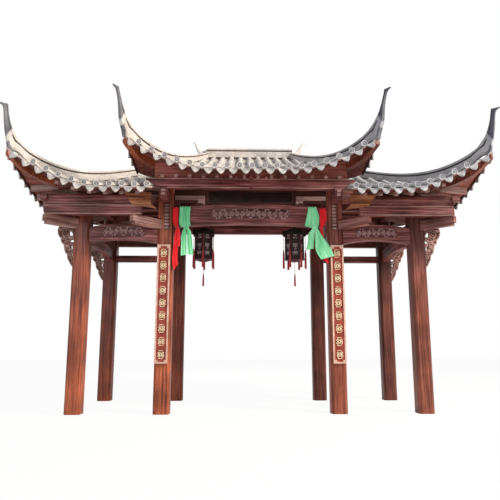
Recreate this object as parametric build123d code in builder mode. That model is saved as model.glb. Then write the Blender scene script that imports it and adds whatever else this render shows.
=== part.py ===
from build123d import *
import os
from dataclasses import dataclass
from math import cos, hypot, pi, sin, sqrt

# A timber gateway with eight posts, a raised centre roof and a lower roof on each side.
# Millimetres, +Z up, the front towards -Y. The origin lies on the ground in the middle of the plan.

os.makedirs("parts", exist_ok=True)

# Plan, from post axis to post axis
centre_bay = 3200
wing_bay = 1570
bay_depth = 2250
post_side = 290
post_chamfer = 42

# Fits: pieces that rest on sloping or curved faces stand off by the seat
seat = 0.3

# Beams between the posts
moon_thickness = 180
moon_setback = 15
centre_moon_z = 3411
centre_moon_height = 355
centre_moon_rise = 98
centre_moon_hollow = 70
wing_moon_z = 3100
wing_moon_height = 298
wing_moon_rise = 66
wing_moon_hollow = 72
rear_tie_z = 3092
rear_tie_height = 147
rear_tie_thickness = 110
rear_beam_z = 3764
rear_beam_height = 190
side_beam_thickness = 150
outer_side_z = 3090
outer_side_height = 250
outer_side_hollow = 90
inner_side_z = 3500
inner_side_height = 260
inner_side_hollow = 80

# Eave structure in front of and behind the posts, and beside the outer ones
arm_width = 115
arm_z = 3372
arm_height = 170
arm_reach = 415
eave_beam_width = 120
eave_beam_height = 168
eave_beam_run = 60
purlin_radius = 72
purlin_overrun = 90
plate_width = 100
centre_arm_width = 130
centre_arm_z = 3870
centre_arm_height = 180
centre_eave_reach = 330
centre_eave_beam_height = 185
centre_eave_beam_end = 330
centre_arm_nose = 70
soffit_board = 40
soffit_ease = 4
soffit_sample = 60
eave_block = 48
eave_block_nose = 34
eave_block_pitch = 280
eave_block_count = 6

# Frame below the roofs
post_purlin_width = 120
centre_post_z = 4430
outer_post_z = 4050
ridge_purlin_width = 120
ridge_purlin_height = 150
king_post_side = 110
king_post_inset = 70
cross_beam_height = 140
lantern_beam_height = 140
lantern_beam_width = 110

# Roofs
deck = 60
centre_overhang_side = 550
centre_overhang_front = 1035
centre_flare = 120
centre_ridge_inset = 680
centre_eave_z = 4290
centre_ridge_z = 5240
centre_sag = 0.34
centre_lift = 575
centre_lift_inset = 820
centre_lift_power = 1.7
wing_overhang_side = 970
wing_overhang_front = 990
wing_flare = 115
wing_hip_start = 400
wing_eave_z = 3960
wing_ridge_z = 4920
wing_sag = 0.39
wing_lift = 680
wing_lift_inset = 420
wing_lift_depth = 800
wing_lift_power = 1.5
valley_front = 1330
valley_gap = 6
corner_stop = 70
stub_side = 30
stub_front = 135
stub_clear = 15
valley_start = 90

# Tiles
tile_pitch = 217
tile_width = 112
tile_height = 54
row_fan = 0.125
tile_overrun = 26
drip_width = 172
drip_drop = 134
drip_set = 10
drip_thickness = 15
disc_radius = 54
disc_thickness = 20
rafter_pitch = 280
rafter_width = 62
rafter_depth = 100
rafter_top = 0.62
rafter_foot = 0.96
courses = (0, 0.3, 0.62, 1)

# Ridges
ridge_width = 150
ridge_height = 190
hip_width = 130
hip_rise_low = 118
hip_rise_high = 122
wing_hip_rise_low = 134
wing_hip_rise_high = 105
horn_thickness = 50
hip_start = 0.03
ridge_end = 14
wing_ridge_height = 150
wing_ridge_end = 44
finial_run = 250
finial_thickness = 50
finial_clear = 1
finial_curl = (
    (255, -20), (252, 110), (205, 175), (215, 250), (262, 300), (290, 330), (270, 368), (215, 350),
    (172, 290), (150, 215), (90, 165), (0, 150),
)

# Front boards, post ornament and couplet boards
upper_tie_z = 4165
upper_tie_height = 125
upper_tie_thickness = 120
plaque_half = 850
plaque_proud = 55
plaque_rim = 52
plaque_rim_depth = 60
plaque_board = 30
bracket_board_z = 3900
bracket_board_depth = 36
board_block_length = 160
board_block_inset = 30
relief_half = 760
relief_inset = 42
relief_depth = 14
strip_width = 70
strip_depth = 42
strip_z = 3560
strip_top = 4150
strip_teeth = 7
strip_notch = 14
couplet_width = 240
couplet_z = 887
couplet_height = 2173
couplet_board = 30
couplet_shift = 17
border_width = 30
border_depth = 12
border_notch = 34
motif_count = 9
motif_reach = 66
motif_depth = 8

# Openwork brackets beside the outer posts
scroll_thickness = 60
scroll_z = 2672
scroll_height = 780
scroll_reach = 340

# Lanterns
lantern_x = 962
canopy_radius = 250
canopy_z = 3560
canopy_height = 100
body_radius = 196
body_z = 2972
sill_height = 26
stile_side = 30
shade_wall = 8
hook_radius = 9
tassel_length = 182
long_tassel_length = 549

# Cloths tied over the centre beam
cloth = 14
red_cloth_x = 1415
red_half = 32
green_cloth_x = 1230
green_half = 100
green_cloth_right = 1180
green_right_half = 108
red_cloth_right = 1390
red_right_half = 58
cloth_front_overlap = 90
cloth_rear_drop = 170

post_x = centre_bay / 2
outer_x = post_x + wing_bay
post_y = bay_depth / 2
half_post = post_side / 2
post_front = post_y + half_post
plaque_set = post_y + plaque_proud
inner_face = post_x - half_post
wing_face = post_x + half_post
outer_inner_face = outer_x - half_post
outer_face = outer_x + half_post


def save(piece, label):
    """Names a finished sub-part and writes it."""
    piece.label = label
    export_step(piece, f"parts/{label}.step")


def solids_of(*shapes):
    return [solid for shape in shapes for solid in shape.solids()]


def both(shape, plane):
    """The shape and its mirror image in the plane."""
    return solids_of(shape, shape.mirror(plane))


def four(shape):
    """The shape mirrored to all four quarters of the plan."""
    return [copy for half in both(shape, Plane.XZ) for copy in both(half, Plane.YZ)]


def block(x, y, z):
    """A straight timber between two limits along each axis."""
    with BuildPart() as timber:
        with BuildSketch(Plane.XY.offset(z[0])):
            with Locations(((x[0] + x[1]) / 2, (y[0] + y[1]) / 2)):
                Rectangle(abs(x[1] - x[0]), abs(y[1] - y[0]))
        extrude(amount=z[1] - z[0])
    return timber.part


def ruled(rings):
    """One solid with flat facets through closed rings of points, each ring with as many points."""
    faces = [ring_face(rings[0]), ring_face(rings[-1])]
    for near, far in zip(rings, rings[1:]):
        for i in range(len(near)):
            j = (i + 1) % len(near)
            faces += facets([near[i], near[j], far[j], far[i]])
    return Part(Solid(Shell(faces)).wrapped)


def ring_face(ring):
    """Flat face inside a ring of points."""
    with BuildSketch(Plane(origin=ring[0], x_dir=ring[1] - ring[0], z_dir=normal_of(ring))) as cap:
        with BuildLine():
            Polyline(*[cap.workplanes[0].to_local_coords(point) for point in ring], close=True)
        make_face()
    return cap.sketch.faces()[0]


def normal_of(ring):
    """Normal of a closed outline, from the sum of the cross products of its sides."""
    total = Vector(0, 0, 0)
    for here, there in zip(ring, ring[1:] + ring[:1]):
        total += (here - ring[0]).cross(there - ring[0])
    return total.normalized()


def facets(corners):
    """A quadrilateral as one flat face, or as two triangles where its corners are not in a plane."""
    first, second, third, fourth = corners
    normal = (second - first).cross(third - first).normalized()
    if abs((fourth - first).dot(normal)) < 0.0001:
        return [Face(Wire.make_polygon(corners))]
    return [Face(Wire.make_polygon([first, second, third])), Face(Wire.make_polygon([first, third, fourth]))]


def plate(plane, outline, thickness):
    """A flat piece of the outline's shape, as thick as given along the plane's normal."""
    with BuildPart() as piece:
        with BuildSketch(plane):
            with BuildLine():
                Polyline(*outline, close=True)
            make_face()
        extrude(amount=thickness)
    return piece.part


@dataclass
class Roof:
    """Hipped roof surface: height falls along a sagging curve from the ridge to the eave, and the
    corners rise by a lift that grows along both eaves. Lengths are from the centre of the plan."""

    ridge: float
    side: float
    front: float
    flare: float
    ridge_z: float
    eave_z: float
    sag: float
    lift: float
    lift_x: float
    lift_y: float
    power: float

    @property
    def steep(self):
        """How far the hip runs back for each millimetre along X."""
        return self.front / (self.side - self.ridge)

    @property
    def corner_y(self):
        return self.front + self.flare

    @property
    def corner_x(self):
        return self.ridge + self.corner_y / self.steep

    def along(self, x):
        return max(0, (abs(x) - self.lift_x) / (self.corner_x - self.lift_x)) ** self.power

    def across(self, y):
        return max(0, (abs(y) - self.lift_y) / (self.corner_y - self.lift_y)) ** self.power

    def height(self, x, y):
        share = max(abs(y) / self.front, (abs(x) - self.ridge) / (self.side - self.ridge))
        fall = (1 + self.sag) * share - self.sag * share**2
        lift = self.lift * self.along(x) * self.across(y)
        return self.ridge_z - (self.ridge_z - self.eave_z) * fall + lift

    def front_eave(self, x):
        return self.front + self.flare * self.along(x)

    def side_eave(self, y):
        return self.side + (self.corner_x - self.side) * self.across(y)

    def hip_y(self, x):
        return max(0, (abs(x) - self.ridge) * self.steep)

    def hip_x(self, y):
        return self.ridge + abs(y) / self.steep


class Slope:
    """One roof face, faceted between stations along its eave. A station is (a, top, foot): a is the
    place along the eave, top and foot are the upper and lower ends down the slope, all in plan."""

    def __init__(self, roof, facing, stations):
        self.facing = facing
        self.stations = stations
        self.reaches = []
        self.levels = []
        for a, top, foot in stations:
            reach = [top + share * (foot - top) for share in courses]
            self.reaches.append(reach)
            self.levels.append([roof.height(*self.plan(a, d)) for d in reach])

    def plan(self, a, d):
        return (a, -d) if self.facing == "front" else (d, a)

    def find(self, a):
        """The station before a, and how far a lies towards the next."""
        last = len(self.stations) - 2
        index = 0
        while index < last and a > self.stations[index + 1][0]:
            index += 1
        low, high = self.stations[index][0], self.stations[index + 1][0]
        return index, (a - low) / (high - low)

    def ends(self, a):
        index, share = self.find(a)
        (_, top, foot), (_, next_top, next_foot) = self.stations[index : index + 2]
        return top + share * (next_top - top), foot + share * (next_foot - foot)

    def z(self, a, d):
        """Height of the faceted surface. Each cell is split from its upper corner at the first
        station to its lower corner at the next."""
        index, share = self.find(a)
        top, foot = self.ends(a)
        run = (d - top) / (foot - top)
        step = 0
        while step < len(courses) - 2 and run > courses[step + 1]:
            step += 1
        lines = []
        for near, far in ((step, step), (step, step + 1), (step + 1, step + 1)):
            reach = self.reaches[index][near], self.reaches[index + 1][far]
            level = self.levels[index][near], self.levels[index + 1][far]
            lines.append(
                (reach[0] + share * (reach[1] - reach[0]), level[0] + share * (level[1] - level[0]))
            )
        upper, split, lower = lines
        first, second = (upper, split) if d < split[0] else (split, lower)
        if second[0] - first[0] < 0.001:
            first, second = upper, lower
        return first[1] + (second[1] - first[1]) * (d - first[0]) / (second[0] - first[0])

    def lowest(self, a_limits, d_limits):
        places = [(a, d) for a in between(*a_limits, 12) for d in between(*d_limits, 6)]
        return min(self.z(a, d) for a, d in places)

    def boards(self):
        """The boarding with its bed of pan tiles."""
        grids = []
        for drop in (0, deck):
            rows = []
            for (a, _, _), reach, levels in zip(self.stations, self.reaches, self.levels):
                rows.append([Vector(*self.plan(a, d), z - drop) for d, z in zip(reach, levels)])
            grids.append(rows)
        faces = []
        for rows in grids:
            for near, far in zip(rows, rows[1:]):
                for k in range(len(courses) - 1):
                    faces += facets([near[k], far[k], far[k + 1], near[k + 1]])
        upper, under = grids
        edge = [row[0] for row in upper] + upper[-1][1:] + [row[-1] for row in upper[-2::-1]]
        edge += upper[0][-2:0:-1]
        edge_under = [row[0] for row in under] + under[-1][1:] + [row[-1] for row in under[-2::-1]]
        edge_under += under[0][-2:0:-1]
        for i in range(len(edge)):
            j = (i + 1) % len(edge)
            faces += facets([edge[i], edge[j], edge_under[j], edge_under[i]])
        return Part(Solid(Shell(faces)).wrapped)

    def strip(self, row, stops, width, outline, under=0):
        """A bar that lies along the slope, over it or under it. row(d) is its place along the eave,
        stops are its section places, and the outline gives (share of width, rise) points."""
        clear = 0
        for low, high in zip(stops, stops[1:]):
            corners = []
            for stop in (low, high):
                corners.append([self.z(row(stop) + side * width, stop) for side in (-0.5, 0.5)])
            for i in range(13):
                for j in range(7):
                    down, across = i / 12, j / 6
                    d = low + (high - low) * down
                    a = row(low) + (row(high) - row(low)) * down + width * (across - 0.5)
                    if d > self.ends(a)[1]:
                        continue
                    miss = self.z(a, d) - bar_height(corners, down, across, under)
                    clear = min(clear, miss) if under else max(clear, miss)
        clear += -seat if under else seat
        sections = []
        for d in stops:
            left = row(d) - width / 2
            low, high = self.z(left, d), self.z(left + width, d)
            points = []
            for share, rise in outline:
                z = low + share * (high - low) + clear - under + rise
                points.append(Vector(*self.plan(left + share * width, d), z))
            sections.append(points)
        return ruled(sections)


def bar_height(corners, down, across, under):
    """Height of a bar's face towards the roof, which ruled() splits one way below it and the other
    way above it."""
    (near_left, near_right), (far_left, far_right) = corners
    if under and down >= across:
        return near_left + down * (far_left - near_left) + across * (far_right - far_left)
    if under:
        return near_left + across * (near_right - near_left) + down * (far_right - near_right)
    if down + across <= 1:
        return near_left + down * (far_left - near_left) + across * (near_right - near_left)
    return far_right + (1 - down) * (near_right - far_right) + (1 - across) * (far_left - far_right)


def between(low, high, count):
    return [low + (high - low) * i / count for i in range(count + 1)]


centre = Roof(
    ridge=post_x - centre_ridge_inset,
    side=post_x + centre_overhang_side,
    front=post_y + centre_overhang_front,
    flare=centre_flare,
    ridge_z=centre_ridge_z,
    eave_z=centre_eave_z,
    sag=centre_sag,
    lift=centre_lift,
    lift_x=post_x - centre_lift_inset,
    lift_y=0,
    power=centre_lift_power,
)
wing = Roof(
    ridge=post_x + wing_hip_start,
    side=outer_x + wing_overhang_side,
    front=post_y + wing_overhang_front,
    flare=wing_flare,
    ridge_z=wing_ridge_z,
    eave_z=wing_eave_z,
    sag=wing_sag,
    lift=wing_lift,
    lift_x=outer_x - wing_lift_inset,
    lift_y=post_y - wing_lift_depth,
    power=wing_lift_power,
)

# The valley runs from where the wing ridge meets the centre roof to that roof's side eave
drop_share = (centre_ridge_z - wing_ridge_z) / (centre_ridge_z - centre_eave_z)
sag_root = sqrt((1 + centre_sag) ** 2 - 4 * centre_sag * drop_share)
valley_tip = centre.ridge + (centre.side - centre.ridge) * (1 + centre_sag - sag_root) / (2 * centre_sag)
valley_steep = valley_front / (centre.side - valley_tip)


def valley_x(y):
    return valley_tip + abs(y) / valley_steep - valley_gap


def valley_y(x):
    return (x - valley_tip - valley_gap) * valley_steep


def mirrored(half):
    """Stations on both sides of the middle, in order."""
    return [(-a, top, foot) for a, top, foot in reversed(half) if a > 0] + half


centre_last_x = centre.corner_x - corner_stop / centre.steep
centre_xs = [0, centre.lift_x * 0.98, centre.ridge] + between(centre.ridge, centre_last_x, 4)[1:]
centre_front = Slope(
    centre,
    "front",
    mirrored([(x, centre.hip_y(x), centre.front_eave(x)) for x in centre_xs]),
)
centre_ys = [0, valley_front / 2] + between(valley_front, centre.corner_y - corner_stop, 3)
centre_side = Slope(
    centre,
    "side",
    mirrored(
        [
            (y, centre.hip_x(y), valley_x(y) if y <= valley_front else centre.side_eave(y))
            for y in centre_ys
        ]
    ),
)

wing_last_x = wing.corner_x - corner_stop / wing.steep
wing_xs = [centre.side, wing.lift_x] + between(wing.lift_x, wing_last_x, 4)[1:]
wing_front = Slope(
    wing, "front", [(x, wing.hip_y(x), wing.front_eave(x)) for x in wing_xs]
)
stub_x = post_x + centre_eave_beam_end + stub_side
stub_y = post_y + centre_eave_reach + eave_beam_width + stub_front
under_corner = Slope(
    wing,
    "front",
    [(x, valley_front + stub_clear, wing.front) for x in (stub_x, centre.side)],
)
stub = Slope(wing, "front", [(x, stub_y, wing.front) for x in (wing_face + stub_clear, stub_x)])
valley_low = valley_tip + valley_start
valley_xs = [valley_low, (valley_low + wing.ridge) / 2, wing.ridge, centre.side]
wing_valley = Slope(
    wing, "front", [(x, wing.hip_y(x), valley_y(x)) for x in valley_xs]
)
wing_ys = [0, wing.lift_y] + between(wing.lift_y, wing.corner_y - corner_stop, 4)[1:]
wing_side = Slope(
    wing, "side", mirrored([(y, wing.hip_x(y), wing.side_eave(y)) for y in wing_ys])
)

# Posts: square with chamfered corners


def post(x, y, top):
    with BuildPart() as timber:
        with BuildSketch():
            with Locations((x, y)):
                Rectangle(post_side, post_side)
            chamfer(vertices(), post_chamfer)
        extrude(amount=top)
    return timber.part


centre_post = post(post_x, -post_y, centre_post_z)
outer_post = post(outer_x, -post_y, outer_post_z)
save(Compound(four(centre_post)), "centre_posts")
save(Compound(four(outer_post)), "outer_posts")


# Moon beams: arched on top and hollowed below


def moon_beam(plane, low, high, z, height, rise, hollow, thickness):
    middle = (low + high) / 2
    with BuildPart() as beam:
        with BuildSketch(plane):
            with BuildLine():
                ThreePointArc((low, z + height), (middle, z + height + rise), (high, z + height))
                Line((high, z + height), (high, z))
                ThreePointArc((high, z), (middle, z + hollow), (low, z))
                Line((low, z), (low, z + height))
            make_face()
        extrude(amount=-thickness)
    return beam.part


moon_front = Plane.XZ.offset(post_front - moon_setback)
centre_moon = moon_beam(
    moon_front,
    -inner_face,
    inner_face,
    centre_moon_z,
    centre_moon_height,
    centre_moon_rise,
    centre_moon_hollow,
    moon_thickness,
)
save(centre_moon, "centre_moon_beam")

wing_moon = moon_beam(
    moon_front,
    wing_face,
    outer_inner_face,
    wing_moon_z,
    wing_moon_height,
    wing_moon_rise,
    wing_moon_hollow,
    moon_thickness,
)
save(Compound(both(wing_moon, Plane.YZ)), "wing_moon_beams")

outer_side = moon_beam(
    Plane.YZ.offset(outer_x + side_beam_thickness / 2),
    -post_y + half_post,
    post_y - half_post,
    outer_side_z,
    outer_side_height,
    0.001 + outer_side_hollow / 2,
    outer_side_hollow,
    side_beam_thickness,
)
save(Compound(both(outer_side, Plane.YZ)), "outer_side_beams")

inner_side = moon_beam(
    Plane.YZ.offset(post_x + side_beam_thickness / 2),
    -post_y + half_post,
    post_y - half_post,
    inner_side_z,
    inner_side_height,
    inner_side_hollow / 2,
    inner_side_hollow,
    side_beam_thickness,
)
save(Compound(both(inner_side, Plane.YZ)), "inner_side_beams")

# Ties at the rear, and the high beam over the rear of the centre bay
rear_low = post_y - rear_tie_thickness / 2
rear_high = post_y + rear_tie_thickness / 2
rear_tie = block(
    (wing_face, outer_inner_face), (rear_low, rear_high), (rear_tie_z, rear_tie_z + rear_tie_height)
)
save(Compound(both(rear_tie, Plane.YZ)), "wing_rear_ties")
save(
    block((-inner_face, inner_face), (rear_low, rear_high), (rear_beam_z, rear_beam_z + rear_beam_height)),
    "centre_rear_beam",
)

# Lanterns hang from a beam between the two inner side beams
lantern_beam_z = inner_side_z + inner_side_height + inner_side_hollow / 2 + seat
lantern_beam = block(
    (-post_x - side_beam_thickness / 2, post_x + side_beam_thickness / 2),
    (-lantern_beam_width / 2, lantern_beam_width / 2),
    (lantern_beam_z, lantern_beam_z + lantern_beam_height),
)
save(lantern_beam, "lantern_beam")

# Diagonal arms that stand out from the posts and carry the wing eave beams
arm_end = arm_reach + half_post


def diagonal_arm(x, timbers):
    """An arm at forty five degrees from the front of a post, cut to the timbers it meets."""
    heading = Plane(
        origin=(x + half_post / 2, -post_y - half_post / 2, arm_z),
        x_dir=(1, -1, 0),
        z_dir=(0, 0, 1),
    )
    length = (arm_end - half_post / 2) * sqrt(2)
    with BuildPart() as arm:
        with BuildSketch(heading):
            Rectangle(length, arm_width, align=(Align.MIN, Align.CENTER))
        extrude(amount=arm_height)
        with BuildSketch(heading.offset(-1)):
            with Locations((length, 0)):
                Rectangle(arm_height * 0.45, arm_width * 2)
        extrude(amount=1 + arm_height * 0.3, mode=Mode.SUBTRACT)
        for timber in timbers:
            add(timber, mode=Mode.SUBTRACT)
    return arm.part


wing_arms = [diagonal_arm(post_x, [centre_post, wing_moon]), diagonal_arm(outer_x, [outer_post])]
right_arms = [copy for arm in wing_arms for copy in both(arm, Plane.XZ)]
save(Compound(solids_of(*right_arms)), "right_wing_arms")
save(Compound([arm.mirror(Plane.YZ) for arm in solids_of(*right_arms)]), "left_wing_arms")

# Wing eave beams: front, rear and outer side, on the arms
beam_y = post_y + arm_end - eave_beam_run
beam_x = outer_x + arm_end - eave_beam_run
beam_z = arm_z + arm_height
beam_top = beam_z + eave_beam_height
half_beam = eave_beam_width / 2
front_beam = block(
    (post_x + arm_end - eave_beam_run - arm_width, beam_x + half_beam),
    (-beam_y - half_beam, -beam_y + half_beam),
    (beam_z, beam_top),
)
side_beam = block(
    (beam_x - half_beam, beam_x + half_beam), (-beam_y + half_beam, beam_y - half_beam), (beam_z, beam_top)
)
right_beams = solids_of(*both(front_beam, Plane.XZ), side_beam)
save(Compound(right_beams), "right_wing_eave_beams")
save(Compound([beam.mirror(Plane.YZ) for beam in right_beams]), "left_wing_eave_beams")

# Round eave purlins under the rafters, on a plate along each beam
rafter_under = deck + rafter_depth + 2 * seat
purlin_under = wing_front.lowest((centre.side, wing.lift_x), (beam_y, beam_y + purlin_radius))
purlin_top = purlin_under - rafter_under - seat
purlin_start = stub_x + 20
purlin_end = beam_x + purlin_overrun


def round_purlin(plane, length, flat):
    """A log purlin with a flat along its underside."""
    with BuildPart() as log:
        with BuildSketch(plane):
            RegularPolygon(purlin_radius, 10, rotation=18)
            with Locations((0, -purlin_radius)):
                Rectangle(purlin_radius * 2, flat * 2, mode=Mode.SUBTRACT)
        extrude(amount=length)
    return log.part


purlin_flat = 12
purlin_axis = purlin_top - purlin_radius
purlin_foot = purlin_axis - purlin_radius + purlin_flat
front_purlin = round_purlin(
    Plane(origin=(purlin_start, -beam_y, purlin_axis), x_dir=(0, 1, 0), z_dir=(1, 0, 0)),
    purlin_end - purlin_start,
    purlin_flat,
)
side_length = 2 * (beam_y - purlin_radius)
side_purlin = round_purlin(
    Plane(origin=(beam_x, side_length / 2, purlin_axis), x_dir=(1, 0, 0), z_dir=(0, -1, 0)),
    side_length,
    purlin_flat,
)
front_plate = block(
    (purlin_start, beam_x + half_beam),
    (-beam_y - plate_width / 2, -beam_y + plate_width / 2),
    (beam_top, purlin_foot),
)
side_plate = block(
    (beam_x - plate_width / 2, beam_x + plate_width / 2),
    (-beam_y + plate_width / 2, beam_y - plate_width / 2),
    (beam_top, purlin_foot),
)
right_purlins = solids_of(
    *both(front_purlin, Plane.XZ), side_purlin, *both(front_plate, Plane.XZ), side_plate
)
save(Compound([copy for log in right_purlins for copy in both(log, Plane.YZ)]), "wing_eave_purlins")

# Centre eave: straight arms from the post fronts, a long eave beam and its plate
centre_beam_y = post_y + half_post + centre_eave_reach
centre_beam_z = centre_arm_z + centre_arm_height
centre_beam_top = centre_beam_z + centre_eave_beam_height
centre_arm = block(
    (post_x - centre_arm_width / 2, post_x + centre_arm_width / 2),
    (-centre_beam_y - half_beam - centre_arm_nose, -post_front),
    (centre_arm_z, centre_beam_z),
)
save(Compound(four(centre_arm)), "centre_eave_arms")
centre_beam_end = post_x + centre_eave_beam_end
centre_beam = block(
    (-centre_beam_end, centre_beam_end),
    (-centre_beam_y - half_beam, -centre_beam_y + half_beam),
    (centre_beam_z, centre_beam_top),
)
save(Compound(both(centre_beam, Plane.XZ)), "centre_eave_beams")

# A board on each of these beams closes the gap up to the roof and rises with its corners
board_half = soffit_board / 2
hip_cross = centre.ridge + (centre_beam_y - board_half) / centre.steep
board_xs = mirrored([(x, 0, 0) for x in between(0, hip_cross - soffit_board, 6)])
soffit_outer = []
for x, _, _ in board_xs:
    near = (x - soffit_sample, x + soffit_sample)
    low = centre_front.lowest(near, (centre_beam_y - board_half, centre_beam_y + board_half)) - deck
    soffit_outer.append((x, low - soffit_ease))
soffit_end = board_xs[-1][0]
soffit = plate(
    Plane.XZ.offset(centre_beam_y - board_half),
    [(-soffit_end, centre_beam_top)] + soffit_outer + [(soffit_end, centre_beam_top)],
    soffit_board,
)
block_xs = [i * eave_block_pitch for i in range(-eave_block_count, eave_block_count + 1)]
blocks = [
    block(
        (x - eave_block / 2, x + eave_block / 2),
        (-centre_beam_y - half_beam - eave_block_nose, -centre_beam_y - board_half),
        (centre_beam_top, centre_beam_top + eave_block),
    )
    for x in block_xs
]
save(
    Compound([copy for piece in solids_of(soffit, *blocks) for copy in both(piece, Plane.XZ)]),
    "centre_soffit_boards",
)

# Purlins on the posts, and the ridge purlins on king posts
half_purlin = post_purlin_width / 2
centre_purlin_top = centre_front.lowest((0, post_x), (post_y, post_y + half_purlin)) - deck - seat
centre_purlin = block(
    (-post_x, post_x), (-post_y - half_purlin, -post_y + half_purlin), (centre_post_z, centre_purlin_top)
)
cross_x = centre.ridge - king_post_inset
cross_beam = block(
    (cross_x - king_post_side / 2, cross_x + king_post_side / 2),
    (-post_y + half_purlin, post_y - half_purlin),
    (centre_post_z, centre_post_z + cross_beam_height),
)
centre_ridge_top = centre_front.lowest((0, centre.ridge), (0, ridge_purlin_width / 2)) - deck - seat
centre_ridge_purlin = block(
    (-centre.ridge + 10, centre.ridge - 10),
    (-ridge_purlin_width / 2, ridge_purlin_width / 2),
    (centre_ridge_top - ridge_purlin_height, centre_ridge_top),
)
king_post = block(
    (cross_x - king_post_side / 2, cross_x + king_post_side / 2),
    (-king_post_side / 2, king_post_side / 2),
    (centre_post_z + cross_beam_height, centre_ridge_top - ridge_purlin_height),
)
save(Compound(solids_of(*both(centre_purlin, Plane.XZ), centre_ridge_purlin)), "centre_purlins")
save(Compound(solids_of(*both(cross_beam, Plane.YZ), *both(king_post, Plane.YZ))), "centre_king_posts")

purlin_edge = (post_y - half_purlin, post_y + half_purlin)
wing_purlin_under = [
    wing_front.lowest((centre.side, outer_x), purlin_edge),
    wing_valley.lowest((wing.ridge, centre.side), purlin_edge),
    wing_side.lowest((0, post_y), (outer_x, outer_x + half_purlin)),
]
wing_purlin_top = min(wing_purlin_under) - deck - seat
wing_post_purlin = block(
    (wing_face, outer_x + half_purlin),
    (-post_y - half_purlin, -post_y + half_purlin),
    (outer_post_z, wing_purlin_top),
)
outer_purlin = block(
    (outer_x - half_purlin, outer_x + half_purlin),
    (-post_y + half_purlin, post_y - half_purlin),
    (outer_post_z, wing_purlin_top),
)
wing_ridge_under = wing_valley.lowest((post_x - king_post_side / 2, wing.ridge), (0, ridge_purlin_width / 2))
wing_ridge_top = wing_ridge_under - deck - seat
wing_ridge_purlin = block(
    (post_x - king_post_side / 2, wing.ridge),
    (-ridge_purlin_width / 2, ridge_purlin_width / 2),
    (wing_ridge_top - ridge_purlin_height, wing_ridge_top),
)
wing_cross_beam = block(
    (post_x + king_post_side / 2, outer_x - half_purlin),
    (-king_post_side / 2, king_post_side / 2),
    (outer_post_z, outer_post_z + cross_beam_height),
)
inner_king_post = block(
    (post_x - king_post_side / 2, post_x + king_post_side / 2),
    (-king_post_side / 2, king_post_side / 2),
    (lantern_beam_z + lantern_beam_height, wing_ridge_top - ridge_purlin_height),
)
outer_king_post = block(
    (wing.ridge - king_post_side, wing.ridge),
    (-king_post_side / 2, king_post_side / 2),
    (outer_post_z + cross_beam_height, wing_ridge_top - ridge_purlin_height),
)
save(
    Compound(
        [
            copy
            for timber in solids_of(*both(wing_post_purlin, Plane.XZ), outer_purlin, wing_ridge_purlin)
            for copy in both(timber, Plane.YZ)
        ]
    ),
    "wing_post_purlins",
)
save(
    Compound(
        [
            copy
            for timber in (wing_cross_beam, inner_king_post, outer_king_post)
            for copy in both(timber, Plane.YZ)
        ]
    ),
    "wing_king_posts",
)

# Roof boarding with its bed of pan tiles
centre_boards = solids_of(*both(centre_front.boards(), Plane.XZ), *both(centre_side.boards(), Plane.YZ))
save(Compound(centre_boards), "centre_roof_deck")
right_boards = [
    copy
    for slope in (wing_front, under_corner, stub, wing_valley)
    for copy in both(slope.boards(), Plane.XZ)
]
right_boards += wing_side.boards().solids()
save(Compound(right_boards), "right_wing_roof_deck")
save(Compound([board.mirror(Plane.YZ) for board in right_boards]), "left_wing_roof_deck")

# Cover tiles in rows down each face
tile_outline = ((0, seat), (0.22, tile_height), (0.78, tile_height), (1, seat))
hip_clear = hip_width / 2 + 4
ridge_gap = ridge_width / 2 + seat


def row_stops(slope, row, top, foot):
    """Section places for a row: its two ends and the courses between them."""
    a = row((top + foot) / 2)
    high, low = slope.ends(a)
    inner = [high + share * (low - high) for share in courses[1:-1]]
    return [top] + [d for d in inner if top + 60 < d < foot - 60] + [foot]


def cover_row(slope, row, top, foot):
    return slope.strip(row, row_stops(slope, row, top, foot), tile_width, tile_outline)


def eave_disc(slope, a):
    """Round end tile that closes a row at the eave, square to the row."""
    d = slope.ends(a)[1] + tile_overrun + seat
    x, y = slope.plan(a, d)
    tilt = slope.z(a + disc_radius, d) - slope.z(a - disc_radius, d)
    along = Vector(2 * disc_radius, 0, tilt) if slope.facing == "front" else Vector(0, 2 * disc_radius, tilt)
    outward = Vector(0, -1, 0) if slope.facing == "front" else Vector(1, 0, 0)
    origin = Vector(x, y, slope.z(a, d) + tile_height * 0.4)
    return plate(Plane(origin=origin, x_dir=along, z_dir=outward), disc_outline, disc_thickness)


def drip_tile(slope, a):
    """Pointed lip that hangs from the pan tiles between two rows, square to the eave in plan."""
    points = []
    for place in (a - drip_half, a + drip_half):
        foot = slope.ends(place)[1]
        points.append(Vector(*slope.plan(place, foot), slope.z(place, foot)))
    along = points[1] - points[0]
    outward = Vector(along.Y, -along.X, 0).normalized()
    bulge = max(0, slope.ends(a)[1] - (slope.ends(a - drip_half)[1] + slope.ends(a + drip_half)[1]) / 2)
    origin = (points[0] + points[1]) * 0.5 + outward * (seat + bulge)
    return plate(Plane(origin=origin, x_dir=along, z_dir=outward), drip_outline, drip_thickness)


disc_turns = [pi * i / 3 for i in range(6)]
disc_outline = [(disc_radius * cos(turn), disc_radius * sin(turn)) for turn in disc_turns]
drip_half = drip_width / 2
drip_outline = [
    (-drip_half, -drip_set),
    (-drip_half * 0.86, -drip_drop * 0.55),
    (0, -drip_drop),
    (drip_half * 0.86, -drip_drop * 0.55),
    (drip_half, -drip_set),
]


def fanned(a, slope_foot):
    """Rows of the centre roof close up a little towards the ridge."""
    return lambda d: a * (1 - row_fan * (1 - d / slope_foot))


def straight(a):
    return lambda d: a


def hip_stop(a, ridge, steep, fan, foot):
    """Where a row's outer edge meets the side of the hip ridge."""
    spread = fan * abs(a) / foot
    start = abs(a) * (1 - fan) + tile_width / 2 - ridge
    return (steep * start + hip_clear * hypot(1, steep)) / (1 - steep * spread)


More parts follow.
